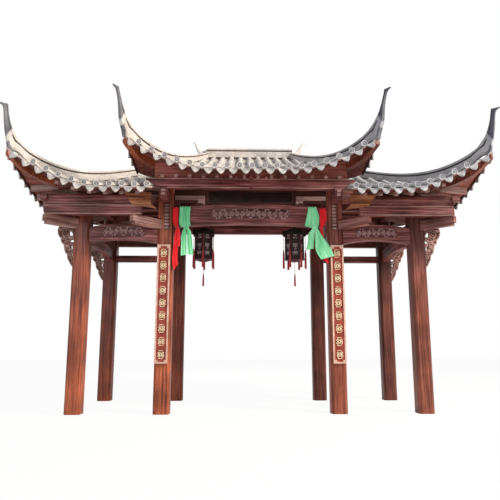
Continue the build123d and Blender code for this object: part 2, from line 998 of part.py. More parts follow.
centre_rows = []
centre_lips = []
count = int(centre.corner_x // tile_pitch)
for i in range(-count, count + 1):
    a = i * tile_pitch
    foot = centre_front.ends(a)[1]
    top = max(ridge_gap, hip_stop(a, centre.ridge, centre.steep, row_fan, centre.front))
    if foot - top > tile_width:
        centre_rows.append(cover_row(centre_front, fanned(a, centre.front), top, foot + tile_overrun))
        centre_lips.append(eave_disc(centre_front, a))
for i in range(-count, count):
    centre_lips.append(drip_tile(centre_front, (i + 0.5) * tile_pitch))
front_rows = solids_of(*centre_rows)
front_lips = solids_of(*centre_lips)

side_rows = []
side_lips = []
count = int(centre.corner_y // tile_pitch)
for i in range(-count, count + 1):
    a = i * tile_pitch
    if i == 0:
        continue
    foot = centre_side.ends(a)[1]
    at_eave = abs(a) - tile_width / 2 > valley_front
    top = centre.hip_x(abs(a) + tile_width / 2) + hip_clear * hypot(1, 1 / centre.steep)
    if not at_eave:
        foot = valley_x(max(0, abs(a) - tile_width / 2)) - 4 * seat
        if abs(a) + tile_width / 2 > valley_front:
            continue
    if foot - top > tile_width:
        overrun = tile_overrun if at_eave else 0
        side_rows.append(cover_row(centre_side, straight(a), top, foot + overrun))
        if at_eave:
            side_lips.append(eave_disc(centre_side, a))
    lip = abs(a) + tile_pitch / 2
    if at_eave and lip + drip_half < centre_side.stations[-1][0]:
        side_lips.append(drip_tile(centre_side, lip if a > 0 else -lip))
save(
    Compound(
        solids_of(*[mirrored_row for row in front_rows for mirrored_row in both(row, Plane.XZ)])
        + solids_of(*[mirrored_row for row in side_rows for mirrored_row in both(row, Plane.YZ)])
    ),
    "centre_cover_tiles",
)
save(
    Compound(
        solids_of(*[lip for piece in front_lips for lip in both(piece, Plane.XZ)])
        + solids_of(*[lip for piece in side_lips for lip in both(piece, Plane.YZ)])
    ),
    "centre_eave_tiles",
)

wing_rows = []
wing_lips = []


def wing_row(slope, a, top, foot):
    if foot - top > tile_width:
        wing_rows.append(cover_row(slope, straight(a), top, foot))
        return True
    return False


wing_clear = hip_clear * hypot(1, wing.steep)
half_row = tile_width / 2
a = centre.side + tile_pitch / 2
while a + half_row < wing.corner_x:
    foot = wing_front.ends(a)[1]
    top = max(ridge_gap, (a + half_row - wing.ridge) * wing.steep + wing_clear)
    if wing_row(wing_front, a, top, foot + tile_overrun):
        wing_lips.append(eave_disc(wing_front, a))
    lip = a + tile_pitch / 2
    if lip + drip_half < wing_last_x:
        wing_lips.append(drip_tile(wing_front, lip))
    a += tile_pitch
for k, slope, start in ((1, under_corner, valley_front + 20), (2, stub, stub_y + 5)):
    a = centre.side - (k - 0.5) * tile_pitch
    wing_row(slope, a, start, wing.front + tile_overrun)
    wing_lips.append(eave_disc(slope, a))
    wing_lips.append(drip_tile(wing_front if k == 1 else under_corner, a + tile_pitch / 2))
a = centre.side - tile_pitch / 2
while a - half_row > valley_tip:
    top = max(ridge_gap, (a + half_row - wing.ridge) * wing.steep + wing_clear)
    wing_row(wing_valley, a, top, valley_y(a - half_row) - 4 * seat)
    a -= tile_pitch
half_rows = [copy for row in wing_rows for copy in both(row, Plane.XZ)]
half_lips = [copy for lip in wing_lips for copy in both(lip, Plane.XZ)]

count = int(wing.corner_y // tile_pitch)
for i in range(-count, count + 1):
    a = i * tile_pitch
    top = wing.hip_x(abs(a) + half_row) + hip_clear * hypot(1, 1 / wing.steep)
    foot = wing_side.ends(a)[1]
    if foot - top > tile_width:
        half_rows += cover_row(wing_side, straight(a), top, foot + tile_overrun).solids()
        half_lips += eave_disc(wing_side, a).solids()
    lip = a + tile_pitch / 2
    if abs(lip) + drip_half < wing_side.stations[-1][0]:
        half_lips += drip_tile(wing_side, lip).solids()
save(Compound(half_rows), "right_wing_cover_tiles")
save(Compound([row.mirror(Plane.YZ) for row in half_rows]), "left_wing_cover_tiles")
save(Compound(half_lips), "right_wing_eave_tiles")
save(Compound([lip.mirror(Plane.YZ) for lip in half_lips]), "left_wing_eave_tiles")

# Rafters under the eaves of the wings
rafter_outline = ((0, -seat), (1, -seat), (1, -seat - rafter_depth), (0, -seat - rafter_depth))
half_rafters = []
x = centre.side - rafter_pitch / 2
while wing.hip_y(x + rafter_width) + hip_width < wing.front * rafter_foot - rafter_pitch:
    start = max(wing.front * rafter_top, wing.hip_y(x + rafter_width) + hip_width)
    slope = wing_front if x > centre.side else under_corner
    end = slope.ends(x)[1] * rafter_foot
    half_rafters += both(slope.strip(straight(x), [start, end], rafter_width, rafter_outline, deck), Plane.XZ)
    x += rafter_pitch
y = 0
while wing.hip_x(y + rafter_width) + hip_width < wing.side * rafter_foot - rafter_pitch / 2:
    start = max(wing.ridge + (wing.side - wing.ridge) * rafter_top, wing.hip_x(y + rafter_width) + hip_width)
    end = wing_side.ends(y)[1] - wing.front * (1 - rafter_foot)
    for place in {y, -y}:
        half_rafters += wing_side.strip(
            straight(place), [start, end], rafter_width, rafter_outline, deck
        ).solids()
    y += rafter_pitch
save(Compound([copy for rafter in half_rafters for copy in both(rafter, Plane.YZ)]), "wing_rafters")

# Hip ridges with their horns


def hip_level(roof, front, side, q):
    """Height of the ruled boards on the hip line, q of the way from the ridge to the flat corner."""
    x = roof.ridge + q * (roof.side - roof.ridge)
    y = q * roof.front
    return max(front.z(x, y), side.z(y, x))


def hip_plane(roof, offset):
    run = Vector(roof.side - roof.ridge, -roof.front, 0)
    across = Vector(-roof.front, roof.ridge - roof.side, 0)
    return Plane(origin=(roof.ridge, 0, 0), x_dir=run, z_dir=across).offset(offset)


def hip_set(roof, front, side, rise_low, rise_high, horn):
    """Ridge bar and horn blade of one hip."""
    length = hypot(roof.side - roof.ridge, roof.front)
    corner_q = roof.corner_y / roof.front
    corner_s = corner_q * length
    corner_level = roof.height(roof.corner_x, roof.corner_y)
    boards_q = corner_q - corner_stop * 1.2 / roof.front
    bar_q = corner_q + horn[0][0] / length
    worst = 0
    qs = between(hip_start, bar_q, 6)
    for low, high in zip(qs, qs[1:]):
        for i in range(9):
            q = low + (high - low) * i / 8
            ends = [hip_level(roof, front, side, place) for place in (low, high)]
            worst = max(worst, hip_level(roof, front, side, q) - ends[0] - (ends[1] - ends[0]) * i / 8)
    base = [(q * length, hip_level(roof, front, side, q) + worst + seat) for q in qs]
    crest = [
        (q * length, roof.height(roof.ridge + q * (roof.side - roof.ridge), q * roof.front)
         + rise_low + (rise_high - rise_low) * q)
        for q in qs
    ]
    bar = plate(hip_plane(roof, -hip_width / 2), base + crest[::-1], hip_width)
    horn_points = [(corner_s + ds, corner_level + dz) for ds, dz in horn]
    horn_qs = between(bar_q, boards_q, 3)
    horn_base = [(q * length, hip_level(roof, front, side, q) + worst + 3 * seat) for q in horn_qs]
    horn_base[0] = (bar_q * length + seat, horn_base[0][1])
    horn_points[0] = (bar_q * length + seat, crest[-1][1])
    blade = plate(hip_plane(roof, -horn_thickness / 2), horn_base + horn_points[::-1], horn_thickness)
    return bar, blade


centre_horn = (
    (-312, 111), (-188, 179), (-54, 289), (86, 459), (160, 609), (205, 780), (330, 745),
    (314, 690), (240, 640), (227, 589), (170, 450), (135, 252), (86, 134), (36, 40), (30, -60),
)
wing_horn = (
    (-374, 31), (-254, 102), (-179, 191), (-103, 285), (-58, 383), (-22, 491), (17, 577), (40, 740),
    (140, 760), (134, 700), (95, 624), (77, 476), (32, 271), (0, 140), (-20, 34), (-30, -60),
)
centre_bar, centre_blade = hip_set(
    centre, centre_front, centre_side, hip_rise_low, hip_rise_low + hip_rise_high, centre_horn
)
wing_bar, wing_blade = hip_set(
    wing, wing_front, wing_side, wing_hip_rise_low, wing_hip_rise_low + wing_hip_rise_high, wing_horn
)
save(Compound(four(centre_bar)), "centre_hip_ridges")
save(Compound(four(centre_blade)), "centre_horns")
save(Compound(four(wing_bar)), "wing_hip_ridges")
save(Compound(four(wing_blade)), "wing_horns")

# Main ridges: a plain bar with a curl at each end on the centre roof
bar_end = centre.ridge + ridge_end
ridge_base = centre_ridge_z + seat
centre_ridge_bar = block(
    (-bar_end, bar_end), (-ridge_width / 2, ridge_width / 2), (ridge_base, centre_ridge_z + ridge_height)
)
side_crest = [
    (x, centre_side.z(0, x) + finial_clear) for x in between(bar_end, centre.ridge + finial_run, 3)
]
curl = [(bar_end + dx, centre_ridge_z + dz) for dx, dz in finial_curl]
finial = plate(Plane.XZ.offset(-finial_thickness / 2), side_crest + curl, finial_thickness)
save(
    Compound(solids_of(centre_ridge_bar, *both(finial, Plane.YZ))),
    "centre_main_ridge",
)
wing_bar_solid = block(
    (valley_tip, wing.ridge + wing_ridge_end),
    (-ridge_width / 2, ridge_width / 2),
    (wing_ridge_z + seat, wing_ridge_z + wing_ridge_height),
)
save(Compound(both(wing_bar_solid, Plane.YZ)), "wing_main_ridges")

# Front and rear ties above the plaque
upper_tie = block(
    (-inner_face, inner_face),
    (-post_y - upper_tie_thickness / 2, -post_y + upper_tie_thickness / 2),
    (upper_tie_z, upper_tie_z + upper_tie_height),
)
save(Compound(both(upper_tie, Plane.XZ)), "centre_upper_ties")

# Plaque in its rim, on the crown of the moon beam, with a board on each side
moon_top = centre_moon_z + centre_moon_height


def moon_crown(x):
    """Height of the moon beam's arched top."""
    radius = (inner_face**2 + centre_moon_rise**2) / (2 * centre_moon_rise)
    return moon_top + centre_moon_rise - radius + sqrt(radius**2 - x**2)


rim_z = moon_crown(0) + seat
rim_top = upper_tie_z - seat
with BuildPart() as rim:
    with BuildSketch(Plane.XZ.offset(plaque_set - plaque_rim_depth / 2)):
        with Locations((0, (rim_z + rim_top) / 2)):
            Rectangle(2 * plaque_half, rim_top - rim_z)
            Rectangle(2 * (plaque_half - plaque_rim), rim_top - rim_z - 2 * plaque_rim, mode=Mode.SUBTRACT)
    extrude(amount=plaque_rim_depth)
save(rim.part, "plaque_rim")
save(
    block(
        (plaque_rim - plaque_half, plaque_half - plaque_rim),
        (-plaque_set - plaque_board / 2, -plaque_set + plaque_board / 2),
        (rim_z + plaque_rim, rim_top - plaque_rim),
    ),
    "plaque_board",
)
board_y = (-plaque_set - bracket_board_depth / 2, -plaque_set + bracket_board_depth / 2)
bracket_board = block((plaque_half, inner_face), board_y, (bracket_board_z, rim_top))
block_start = plaque_half + board_block_inset
board_block = block(
    (block_start, block_start + board_block_length),
    (board_y[0] - board_block_inset, board_y[1]),
    (moon_crown(block_start) + seat, bracket_board_z),
)
save(Compound(solids_of(*both(bracket_board, Plane.YZ), *both(board_block, Plane.YZ))), "bracket_boards")

# Relief panel on the face of the moon beam: a plate with scalloped ends
relief_low = centre_moon_z + centre_moon_hollow + relief_inset
relief_high = moon_crown(relief_half) - relief_inset
relief_middle = (relief_low + relief_high) / 2
relief_step = (relief_high - relief_low) / 4
relief_right = [
    (relief_half - relief_step, relief_low),
    (relief_half, relief_low + relief_step),
    (relief_half - relief_step / 2, relief_middle),
    (relief_half, relief_high - relief_step),
    (relief_half - relief_step, relief_high),
    (0, relief_high + centre_moon_rise * 0.2),
]
relief_left = [(-x, z) for x, z in reversed(relief_right[:-1])]
save(plate(moon_front, relief_right + relief_left, relief_depth), "moon_beam_relief")

# Carved strips with a saw edge on the outer side of the centre posts
strip_edge = post_x + centre_arm_width / 2 + seat
tooth = (strip_top - strip_z) / strip_teeth
saw = []
for i in range(strip_teeth):
    low = strip_z + i * tooth
    saw += [(strip_edge + strip_width, low + tooth * 0.15), (strip_edge + strip_width, low + tooth * 0.7)]
    saw.append((strip_edge + strip_width - strip_notch, low + tooth * 0.85))
strip_outline = [(strip_edge, strip_z)] + saw + [(strip_edge, strip_top)]
carved_strip = plate(Plane.XZ.offset(post_front), strip_outline, strip_depth)
save(Compound(four(carved_strip)), "carved_post_strips")

# Couplet boards: a board, a raised border with notched inner corners, and a row of ornaments
couplet_x = post_x + couplet_shift
couplet_top = couplet_z + couplet_height
couplet_front = post_front + couplet_board
couplet = block(
    (couplet_x - couplet_width / 2, couplet_x + couplet_width / 2),
    (-couplet_front, -post_front),
    (couplet_z, couplet_top),
)
inner_half = couplet_width / 2 - border_width
notch_half = inner_half - border_notch
inner_low = couplet_z + border_width
inner_high = couplet_top - border_width
opening = []
for sx, z, dz in ((1, inner_low, 1), (1, inner_high, -1), (-1, inner_high, -1), (-1, inner_low, 1)):
    corner = [
        (couplet_x + sx * notch_half, z),
        (couplet_x + sx * notch_half, z + dz * border_notch),
        (couplet_x + sx * inner_half, z + dz * border_notch),
    ]
    opening += corner if sx * dz > 0 else corner[::-1]
with BuildPart() as border:
    with BuildSketch(Plane.XZ.offset(couplet_front)):
        with Locations((couplet_x, (couplet_z + couplet_top) / 2)):
            Rectangle(couplet_width, couplet_height)
        with BuildLine():
            Polyline(*opening, close=True)
        make_face(mode=Mode.SUBTRACT)
    extrude(amount=border_depth)
star = [
    (
        couplet_x + motif_reach * (1 if i % 2 == 0 else 0.55) * cos(i * pi / 4),
        motif_reach * (1 if i % 2 == 0 else 0.55) * sin(i * pi / 4),
    )
    for i in range(8)
]
motif_margin = border_notch + motif_reach
motif_zs = between(inner_low + motif_margin, inner_high - motif_margin, motif_count - 1)
motifs = [
    plate(Plane.XZ.offset(couplet_front), [(x, z + mid) for x, z in star], motif_depth) for mid in motif_zs
]
save(couplet, "right_couplet_board")
save(couplet.mirror(Plane.YZ), "left_couplet_board")
save(Compound(both(border.part, Plane.YZ)), "couplet_borders")
save(Compound([copy for motif in motifs for copy in both(motif, Plane.YZ)]), "couplet_ornaments")

# Openwork brackets: a tapering board with a scalloped edge and pierced openings
scroll_edge = [
    (0, 0), (0.12, 0), (0.3, 0.17), (0.4, 0.27), (0.44, 0.36), (0.56, 0.4), (0.62, 0.53), (0.74, 0.57),
    (0.78, 0.7), (0.92, 0.76), (1, 0.87), (0.97, 0.95), (0.88, 1), (0, 1),
]
scroll_holes = (
    (0.52, 0.85, 0.26), (0.44, 0.62, 0.19), (0.3, 0.43, 0.13), (0.2, 0.25, 0.1), (0.12, 0.75, 0.1),
)
with BuildPart() as scroll:
    with BuildSketch(Plane.XZ.offset(post_y - scroll_thickness / 2)):
        with BuildLine():
            Polyline(
                *[(outer_face + x * scroll_reach, scroll_z + z * scroll_height) for x, z in scroll_edge],
                close=True,
            )
        make_face()
        for x, z, reach in scroll_holes:
            with Locations((outer_face + x * scroll_reach, scroll_z + z * scroll_height)):
                RegularPolygon(reach * scroll_reach, 6, mode=Mode.SUBTRACT)
    extrude(amount=scroll_thickness)
save(Compound(four(scroll.part)), "scroll_brackets")

# Lanterns: six-sided, with a canopy, stiles, shade and tassels


def hexagon(radius):
    turns = [pi * i / 3 + pi / 6 for i in range(6)]
    return [(radius * cos(turn), radius * sin(turn)) for turn in turns]


def tassel(x, y, top, foot, flare):
    """A cord that swells into a tassel over its last third."""
    length = top - foot
    levels = ((top, 5), (foot + length * 0.38, 5), (foot + length * 0.3, flare * 0.6), (foot, flare))
    rings = []
    for z, radius in levels:
        ring = [(x + radius, y), (x, y + radius), (x - radius, y), (x, y - radius)]
        rings.append([Vector(*point, z) for point in ring])
    return ruled(rings)


with BuildPart() as canopy:
    with BuildSketch(Plane.XY.offset(canopy_z)):
        RegularPolygon(canopy_radius, 6, rotation=30)
    extrude(amount=canopy_height * 0.45)
    with BuildSketch(Plane.XY.offset(canopy_z + canopy_height * 0.45)):
        RegularPolygon(canopy_radius * 0.62, 6, rotation=30)
    extrude(amount=canopy_height * 0.55)
with BuildPart() as sill:
    with BuildSketch(Plane.XY.offset(body_z)):
        RegularPolygon(body_radius + stile_side / 2, 6, rotation=30)
    extrude(amount=sill_height)
shade_radius = body_radius - stile_side / 2 - seat
stiles = []
for i, (x, y) in enumerate(hexagon(body_radius)):
    with BuildPart() as stile:
        with BuildSketch(Plane.XY.offset(body_z + sill_height)):
            with Locations(Location((x, y, 0), (0, 0, 60 * i + 30))):
                Rectangle(stile_side, stile_side)
        extrude(amount=canopy_z - body_z - sill_height)
    stiles.append(stile.part)
with BuildPart() as shade:
    with BuildSketch(Plane.XY.offset(body_z + sill_height)):
        RegularPolygon(shade_radius, 6, rotation=30)
        RegularPolygon(shade_radius - shade_wall, 6, rotation=30, mode=Mode.SUBTRACT)
    extrude(amount=canopy_z - body_z - sill_height)
with BuildPart() as hook:
    with BuildSketch(Plane.XY.offset(canopy_z + canopy_height)):
        RegularPolygon(hook_radius, 6)
    extrude(amount=lantern_beam_z - canopy_z - canopy_height)
tassel_ring = hexagon((body_radius + canopy_radius) / 2 + stile_side / 2)
corner_tassels = [tassel(x, y, canopy_z, body_z - tassel_length, 26) for x, y in tassel_ring]
long_tassel = tassel(0, 0, body_z, body_z - long_tassel_length, 22)
for side, x in (("right", lantern_x), ("left", -lantern_x)):
    place = Location((x, 0, 0))
    frame = solids_of(canopy.part, sill.part, *stiles, hook.part)
    tassels = solids_of(*corner_tassels, long_tassel)
    save(Compound([solid.moved(place) for solid in frame]), f"{side}_lantern_frame")
    save(shade.part.moved(place), f"{side}_lantern_shade")
    save(Compound([solid.moved(place) for solid in tassels]), f"{side}_lantern_tassels")

# Cloths: a band over the centre beam that hangs in front of it, gathered at the beam's foot
moon_face = post_front - moon_setback


def hung_cloth(middle, outline, band, lead=0):
    """Outline gives the part in front as (offset from middle, height); band is the half width on top;
    lead is how far the front part stands clear of the beam."""
    crown = max(moon_crown(middle - band), moon_crown(middle + band)) + seat
    rear_y = -moon_face + moon_thickness
    with BuildPart() as piece:
        with BuildSketch(Plane.XZ.offset(moon_face + seat + lead)):
            with BuildLine():
                Polyline(*[(middle + x, z) for x, z in outline], close=True)
            make_face()
        extrude(amount=cloth)
        with BuildSketch(Plane.XZ.offset(moon_face + seat)):
            with Locations((middle, crown - cloth_front_overlap / 2 + cloth / 2)):
                Rectangle(2 * band, cloth_front_overlap + cloth)
        extrude(amount=cloth + lead)
        with BuildSketch(Plane.XY.offset(crown)):
            with Locations((middle, (rear_y - moon_face) / 2)):
                Rectangle(2 * band, moon_thickness + 2 * seat)
        extrude(amount=cloth)
        with BuildSketch(Plane.XY.offset(crown - cloth_rear_drop)):
            with Locations((middle, rear_y + seat + cloth / 2)):
                Rectangle(2 * band, cloth)
        extrude(amount=cloth_rear_drop + cloth)
    return piece.part


green_outline = (
    (-100, 3780), (-100, 3500), (-80, 3415), (-35, 3380), (-60, 3290), (-62, 2850), (170, 2880),
    (120, 3300), (55, 3380), (105, 3440), (96, 3555), (100, 3780),
)
green_right_outline = (
    (-110, 3780), (-95, 3500), (-20, 3400), (-120, 3250), (-135, 2975), (-30, 2960), (40, 3250),
    (90, 3240), (190, 2960), (262, 2800), (308, 2850), (150, 3250), (85, 3400), (115, 3500), (118, 3780),
)
red_outline = (
    (-56, 3780), (-50, 3560), (-20, 3430), (-12, 3330), (-25, 2720), (60, 2580), (72, 3000),
    (112, 3020), (104, 3330), (60, 3410), (58, 3560), (56, 3780),
)
red_right_outline = (
    (-60, 3775), (-58, 3420), (-40, 3265), (-52, 2830), (20, 2700), (76, 2690), (62, 3000), (52, 3265),
    (58, 3420), (62, 3775),
)
save(hung_cloth(-green_cloth_x, green_outline, green_half), "left_green_cloth")
save(hung_cloth(-red_cloth_x, red_outline, red_half), "left_red_cloth")
save(hung_cloth(green_cloth_right, green_right_outline, green_right_half, cloth + seat), "right_green_cloth")
save(hung_cloth(red_cloth_right, red_right_outline, red_right_half), "right_red_cloth")
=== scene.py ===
# %% [markdown]
# # A timber gateway with upswept tiled roofs
# The packed solids are the frame that everything here is fitted to, in metres, with +Z up and the
# front towards -Y. They are loaded first.

import bmesh
import bpy
import numpy as np
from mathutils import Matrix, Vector


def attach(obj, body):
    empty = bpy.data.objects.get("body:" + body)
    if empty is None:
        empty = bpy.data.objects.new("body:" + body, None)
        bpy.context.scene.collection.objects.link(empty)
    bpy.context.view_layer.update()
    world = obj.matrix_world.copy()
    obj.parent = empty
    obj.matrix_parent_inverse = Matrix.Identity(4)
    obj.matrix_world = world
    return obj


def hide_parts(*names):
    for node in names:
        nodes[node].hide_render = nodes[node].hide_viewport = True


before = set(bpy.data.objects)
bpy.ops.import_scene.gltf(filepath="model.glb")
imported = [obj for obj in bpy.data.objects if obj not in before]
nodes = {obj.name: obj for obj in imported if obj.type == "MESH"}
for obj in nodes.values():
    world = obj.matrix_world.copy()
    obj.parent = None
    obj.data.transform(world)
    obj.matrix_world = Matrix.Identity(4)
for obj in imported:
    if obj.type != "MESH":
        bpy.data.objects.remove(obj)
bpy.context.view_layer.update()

# %% [markdown]
# ## Camera
# The photograph was taken from a little left of the middle, at eye height, with the camera tilted up
# by ten degrees. Its place and lens were found by fitting the posts, so the picture and the model
# line up without any shift.

# %% Camera at the photograph's place
photo_side = 500
focal_px = 525.5
camera_data = bpy.data.cameras.new("camera")
camera_data.sensor_width = 36
camera_data.lens = focal_px / photo_side * camera_data.sensor_width
camera = bpy.data.objects.new("camera", camera_data)
bpy.context.scene.collection.objects.link(camera)
eye = (-0.239, -10.967, 1.255)
tilt_up, yaw = 10.015, -1.337
camera.location = eye
camera.rotation_euler = (np.radians(90 + tilt_up), 0, np.radians(yaw))
bpy.context.scene.camera = camera
print("lens", round(camera_data.lens, 2), "eye", eye)

# %% [markdown]
# ## Light
# The gateway stands in soft sun from the right and a little in front, so what faces right is warm
# and bright, and what faces left is grey. The world gives an even, slightly blue light from all
# sides, and the camera alone sees plain white behind.

# %% World
scene = bpy.context.scene
scene.view_settings.view_transform = "Standard"
world = bpy.data.worlds.new("sky")
scene.world = world
world.use_nodes = True
tree = world.node_tree
tree.nodes.clear()
path = tree.nodes.new("ShaderNodeLightPath")
sky = tree.nodes.new("ShaderNodeBackground")
sky.inputs["Color"].default_value = (0.88, 0.93, 1.0, 1)
sky.inputs["Strength"].default_value = 0.5
white = tree.nodes.new("ShaderNodeBackground")
white.inputs["Color"].default_value = (1, 1, 1, 1)
white.inputs["Strength"].default_value = 1.0
mix = tree.nodes.new("ShaderNodeMixShader")
out = tree.nodes.new("ShaderNodeOutputWorld")
for start, end in ((path.outputs["Is Camera Ray"], mix.inputs[0]), (sky.outputs[0], mix.inputs[1]),
                   (white.outputs[0], mix.inputs[2]), (mix.outputs[0], out.inputs["Surface"])):
    tree.links.new(start, end)
print("sky strength", sky.inputs["Strength"].default_value)

# %% [markdown]
# ## Lamps
# Real sun is a point far away and draws hard shadows. Here the light is that of a studio, so the key
# is an area lamp, large enough to soften the shadows under the eaves. A weak one fills from the
# left, and one behind keeps the back from going dark.

# %% Lamps
def lamp(name, place, size, watts, colour):
    """A square area lamp at a place, turned towards the middle of the gateway."""
    data = bpy.data.lights.new(name, "AREA")
    data.shape = "SQUARE"
    data.size = size
    data.energy = watts
    data.color = colour
    thing = bpy.data.objects.new(name, data)
    thing.location = place
    thing.rotation_euler = (middle - Vector(place)).to_track_quat("-Z", "Y").to_euler()
    scene.collection.objects.link(thing)


middle = Vector((0, 0, 3))
lamp("key", (13, -8.6, 12.5), 4, 4300, (1.0, 0.93, 0.84))
lamp("fill", (-8, -12, 5), 7, 420, (0.85, 0.91, 1.0))
lamp("back", (2, 13, 10), 8, 600, (1, 1, 1))

# %% [markdown]
# ## Floor
# A plain pale floor catches the shadow of the posts. It is not part of the gateway.

# %% Floor
floor_half = 30
floor_mesh = bpy.data.meshes.new("floor")
corners = [(-1, -1), (1, -1), (1, 1), (-1, 1)]
floor_mesh.from_pydata([(x * floor_half, y * floor_half, 0) for x, y in corners], [], [(0, 1, 2, 3)])
floor = bpy.data.objects.new("floor", floor_mesh)
scene.collection.objects.link(floor)
print("floor", floor_half * 2, "m wide")


# %% [markdown]
# ## A short way to write materials
# Each finish is a small tree of nodes. The helper makes the tree and a shader in it, and adds nodes
# with their values and links in one line, so that a finish below reads as a recipe.

# %% Material helper
class Finish:
    """A material with a shader, to which a recipe adds nodes."""

    def __init__(self, name, rough, specular):
        """A new material whose shader has the given roughness and specular level."""
        self.material = bpy.data.materials.new(name)
        self.material.use_nodes = True
        self.tree = self.material.node_tree
        self.shader = self.tree.nodes["Principled BSDF"]
        self.shader.inputs["Roughness"].default_value = rough
        self.shader.inputs["Specular IOR Level"].default_value = specular
        self.coords = self.add("ShaderNodeTexCoord").outputs["Object"]

    def add(self, kind, **values):
        """A node of a kind, with each value set on its socket of that name, or else on the node."""
        node = self.tree.nodes.new(kind)
        for key, value in values.items():
            key = key.replace("_", " ")
            if key in node.inputs.keys():
                if isinstance(value, bpy.types.NodeSocket):
                    self.tree.links.new(value, node.inputs[key])
                else:
                    node.inputs[key].default_value = value
            else:
                setattr(node, key.replace(" ", "_"), value)
        return node

    def stretched(self, scale):
        """Object coordinates scaled by a different amount along each axis."""
        return self.add("ShaderNodeMapping", Vector=self.coords, Scale=scale).outputs[0]

    def noise(self, where, scale, detail, rough):
        """A noise at a place: how small it is, how many finer layers it has and how strong they are."""
        return self.add("ShaderNodeTexNoise", Vector=where, Scale=scale, Detail=detail, Roughness=rough)

    def ramp(self, value, stops):
        """Colours by a value from 0 to 1: a list of (place, colour)."""
        node = self.add("ShaderNodeValToRGB", Fac=value)
        elements = node.color_ramp.elements
        while len(elements) < len(stops):
            elements.new(0.5)
        for element, (place, colour) in zip(elements, stops):
            element.position = place
            element.color = (*colour, 1)
        return node.outputs["Color"]

    def mixed(self, first, second, share, blend="MIX"):
        """Two colours mixed by a share, each a socket or a fixed value."""
        node = self.tree.nodes.new("ShaderNodeMix")
        node.data_type = "RGBA"
        node.blend_type = blend
        for index, value in ((0, share), (6, first), (7, second)):
            if isinstance(value, bpy.types.NodeSocket):
                self.tree.links.new(value, node.inputs[index])
            elif index == 0:
                node.inputs[index].default_value = value
            else:
                node.inputs[index].default_value = (*value, 1)
        return node.outputs[2]

    def times(self, base, tint):
        """One colour multiplied by another."""
        return self.mixed(base, tint, 1.0, "MULTIPLY")

    def spread(self, value, low, high):
        """0 where the value is low or less, 1 where it is high or more, and a straight line between."""
        node = self.add("ShaderNodeMapRange", Value=value)
        node.inputs["From Min"].default_value = low
        node.inputs["From Max"].default_value = high
        return node.outputs[0]

    def kept(self, label):
        """A number that is kept on the points of a piece."""
        return self.add("ShaderNodeAttribute", attribute_name=label).outputs["Fac"]

    def as_share(self, grey):
        """A grey colour as a number from 0 to 1."""
        return self.add("ShaderNodeRGBToBW", Color=grey).outputs[0]

    def colour(self, socket):
        """The colour of the shader."""
        self.tree.links.new(socket, self.shader.inputs["Base Color"])

    def bump(self, height, strength, distance):
        """Relief in the shading: a height from 0 to 1 over a distance in metres."""
        node = self.add("ShaderNodeBump", Height=height, Strength=strength, Distance=distance)
        self.tree.links.new(node.outputs[0], self.shader.inputs["Normal"])

    def across_front(self, base, left_tint, right_tint, axis="X", low=-2.4, high=2.4):
        """The base colour times a tint that changes from one side of the gateway to the other, or
        along another axis, between two places in metres."""
        place = self.add("ShaderNodeSeparateXYZ", Vector=self.coords).outputs[axis]
        return self.times(base, self.mixed(left_tint, right_tint, self.spread(place, low, high)))

    def beyond(self, axis, place):
        """1 where the coordinate is further from the middle than the place, and 0 elsewhere."""
        part = self.add("ShaderNodeSeparateXYZ", Vector=self.coords).outputs[axis]
        reach = self.add("ShaderNodeMath", operation="ABSOLUTE", Value=part).outputs[0]
        return self.spread(reach, place, place + 0.002)

    def rough_by(self, value, low, high):
        """Roughness from low to high as the value goes from 0 to 1."""
        node = self.add("ShaderNodeMapRange", Value=value)
        node.inputs["To Min"].default_value = low
        node.inputs["To Max"].default_value = high
        self.tree.links.new(node.outputs[0], self.shader.inputs["Roughness"])


print("a recipe can use", [word for word in vars(Finish) if not word.startswith("_")])

# %% [markdown]
# ## Timber
# The frame is oiled hardwood, red-brown and mottled. An image of wood could be wrapped round each
# timber, but it would need unwrapping and would show its seams. Here the grain is a noise drawn out
# along the timber, and a broad noise makes patches that are lighter and duller.

# %% A recipe for timber
ALONG_FRONT, ALONG_DEPTH, UPRIGHT = 0, 1, 2
GRAIN_ACROSS, GRAIN_ALONG, GRAIN_LEVEL = 34.0, 1.3, 26.0


def grain_of(finish, scale):
    """Noise drawn out along one axis: lines in fine layers."""
    return finish.noise(finish.stretched(scale), 1.0, 8, 0.62).outputs["Fac"]


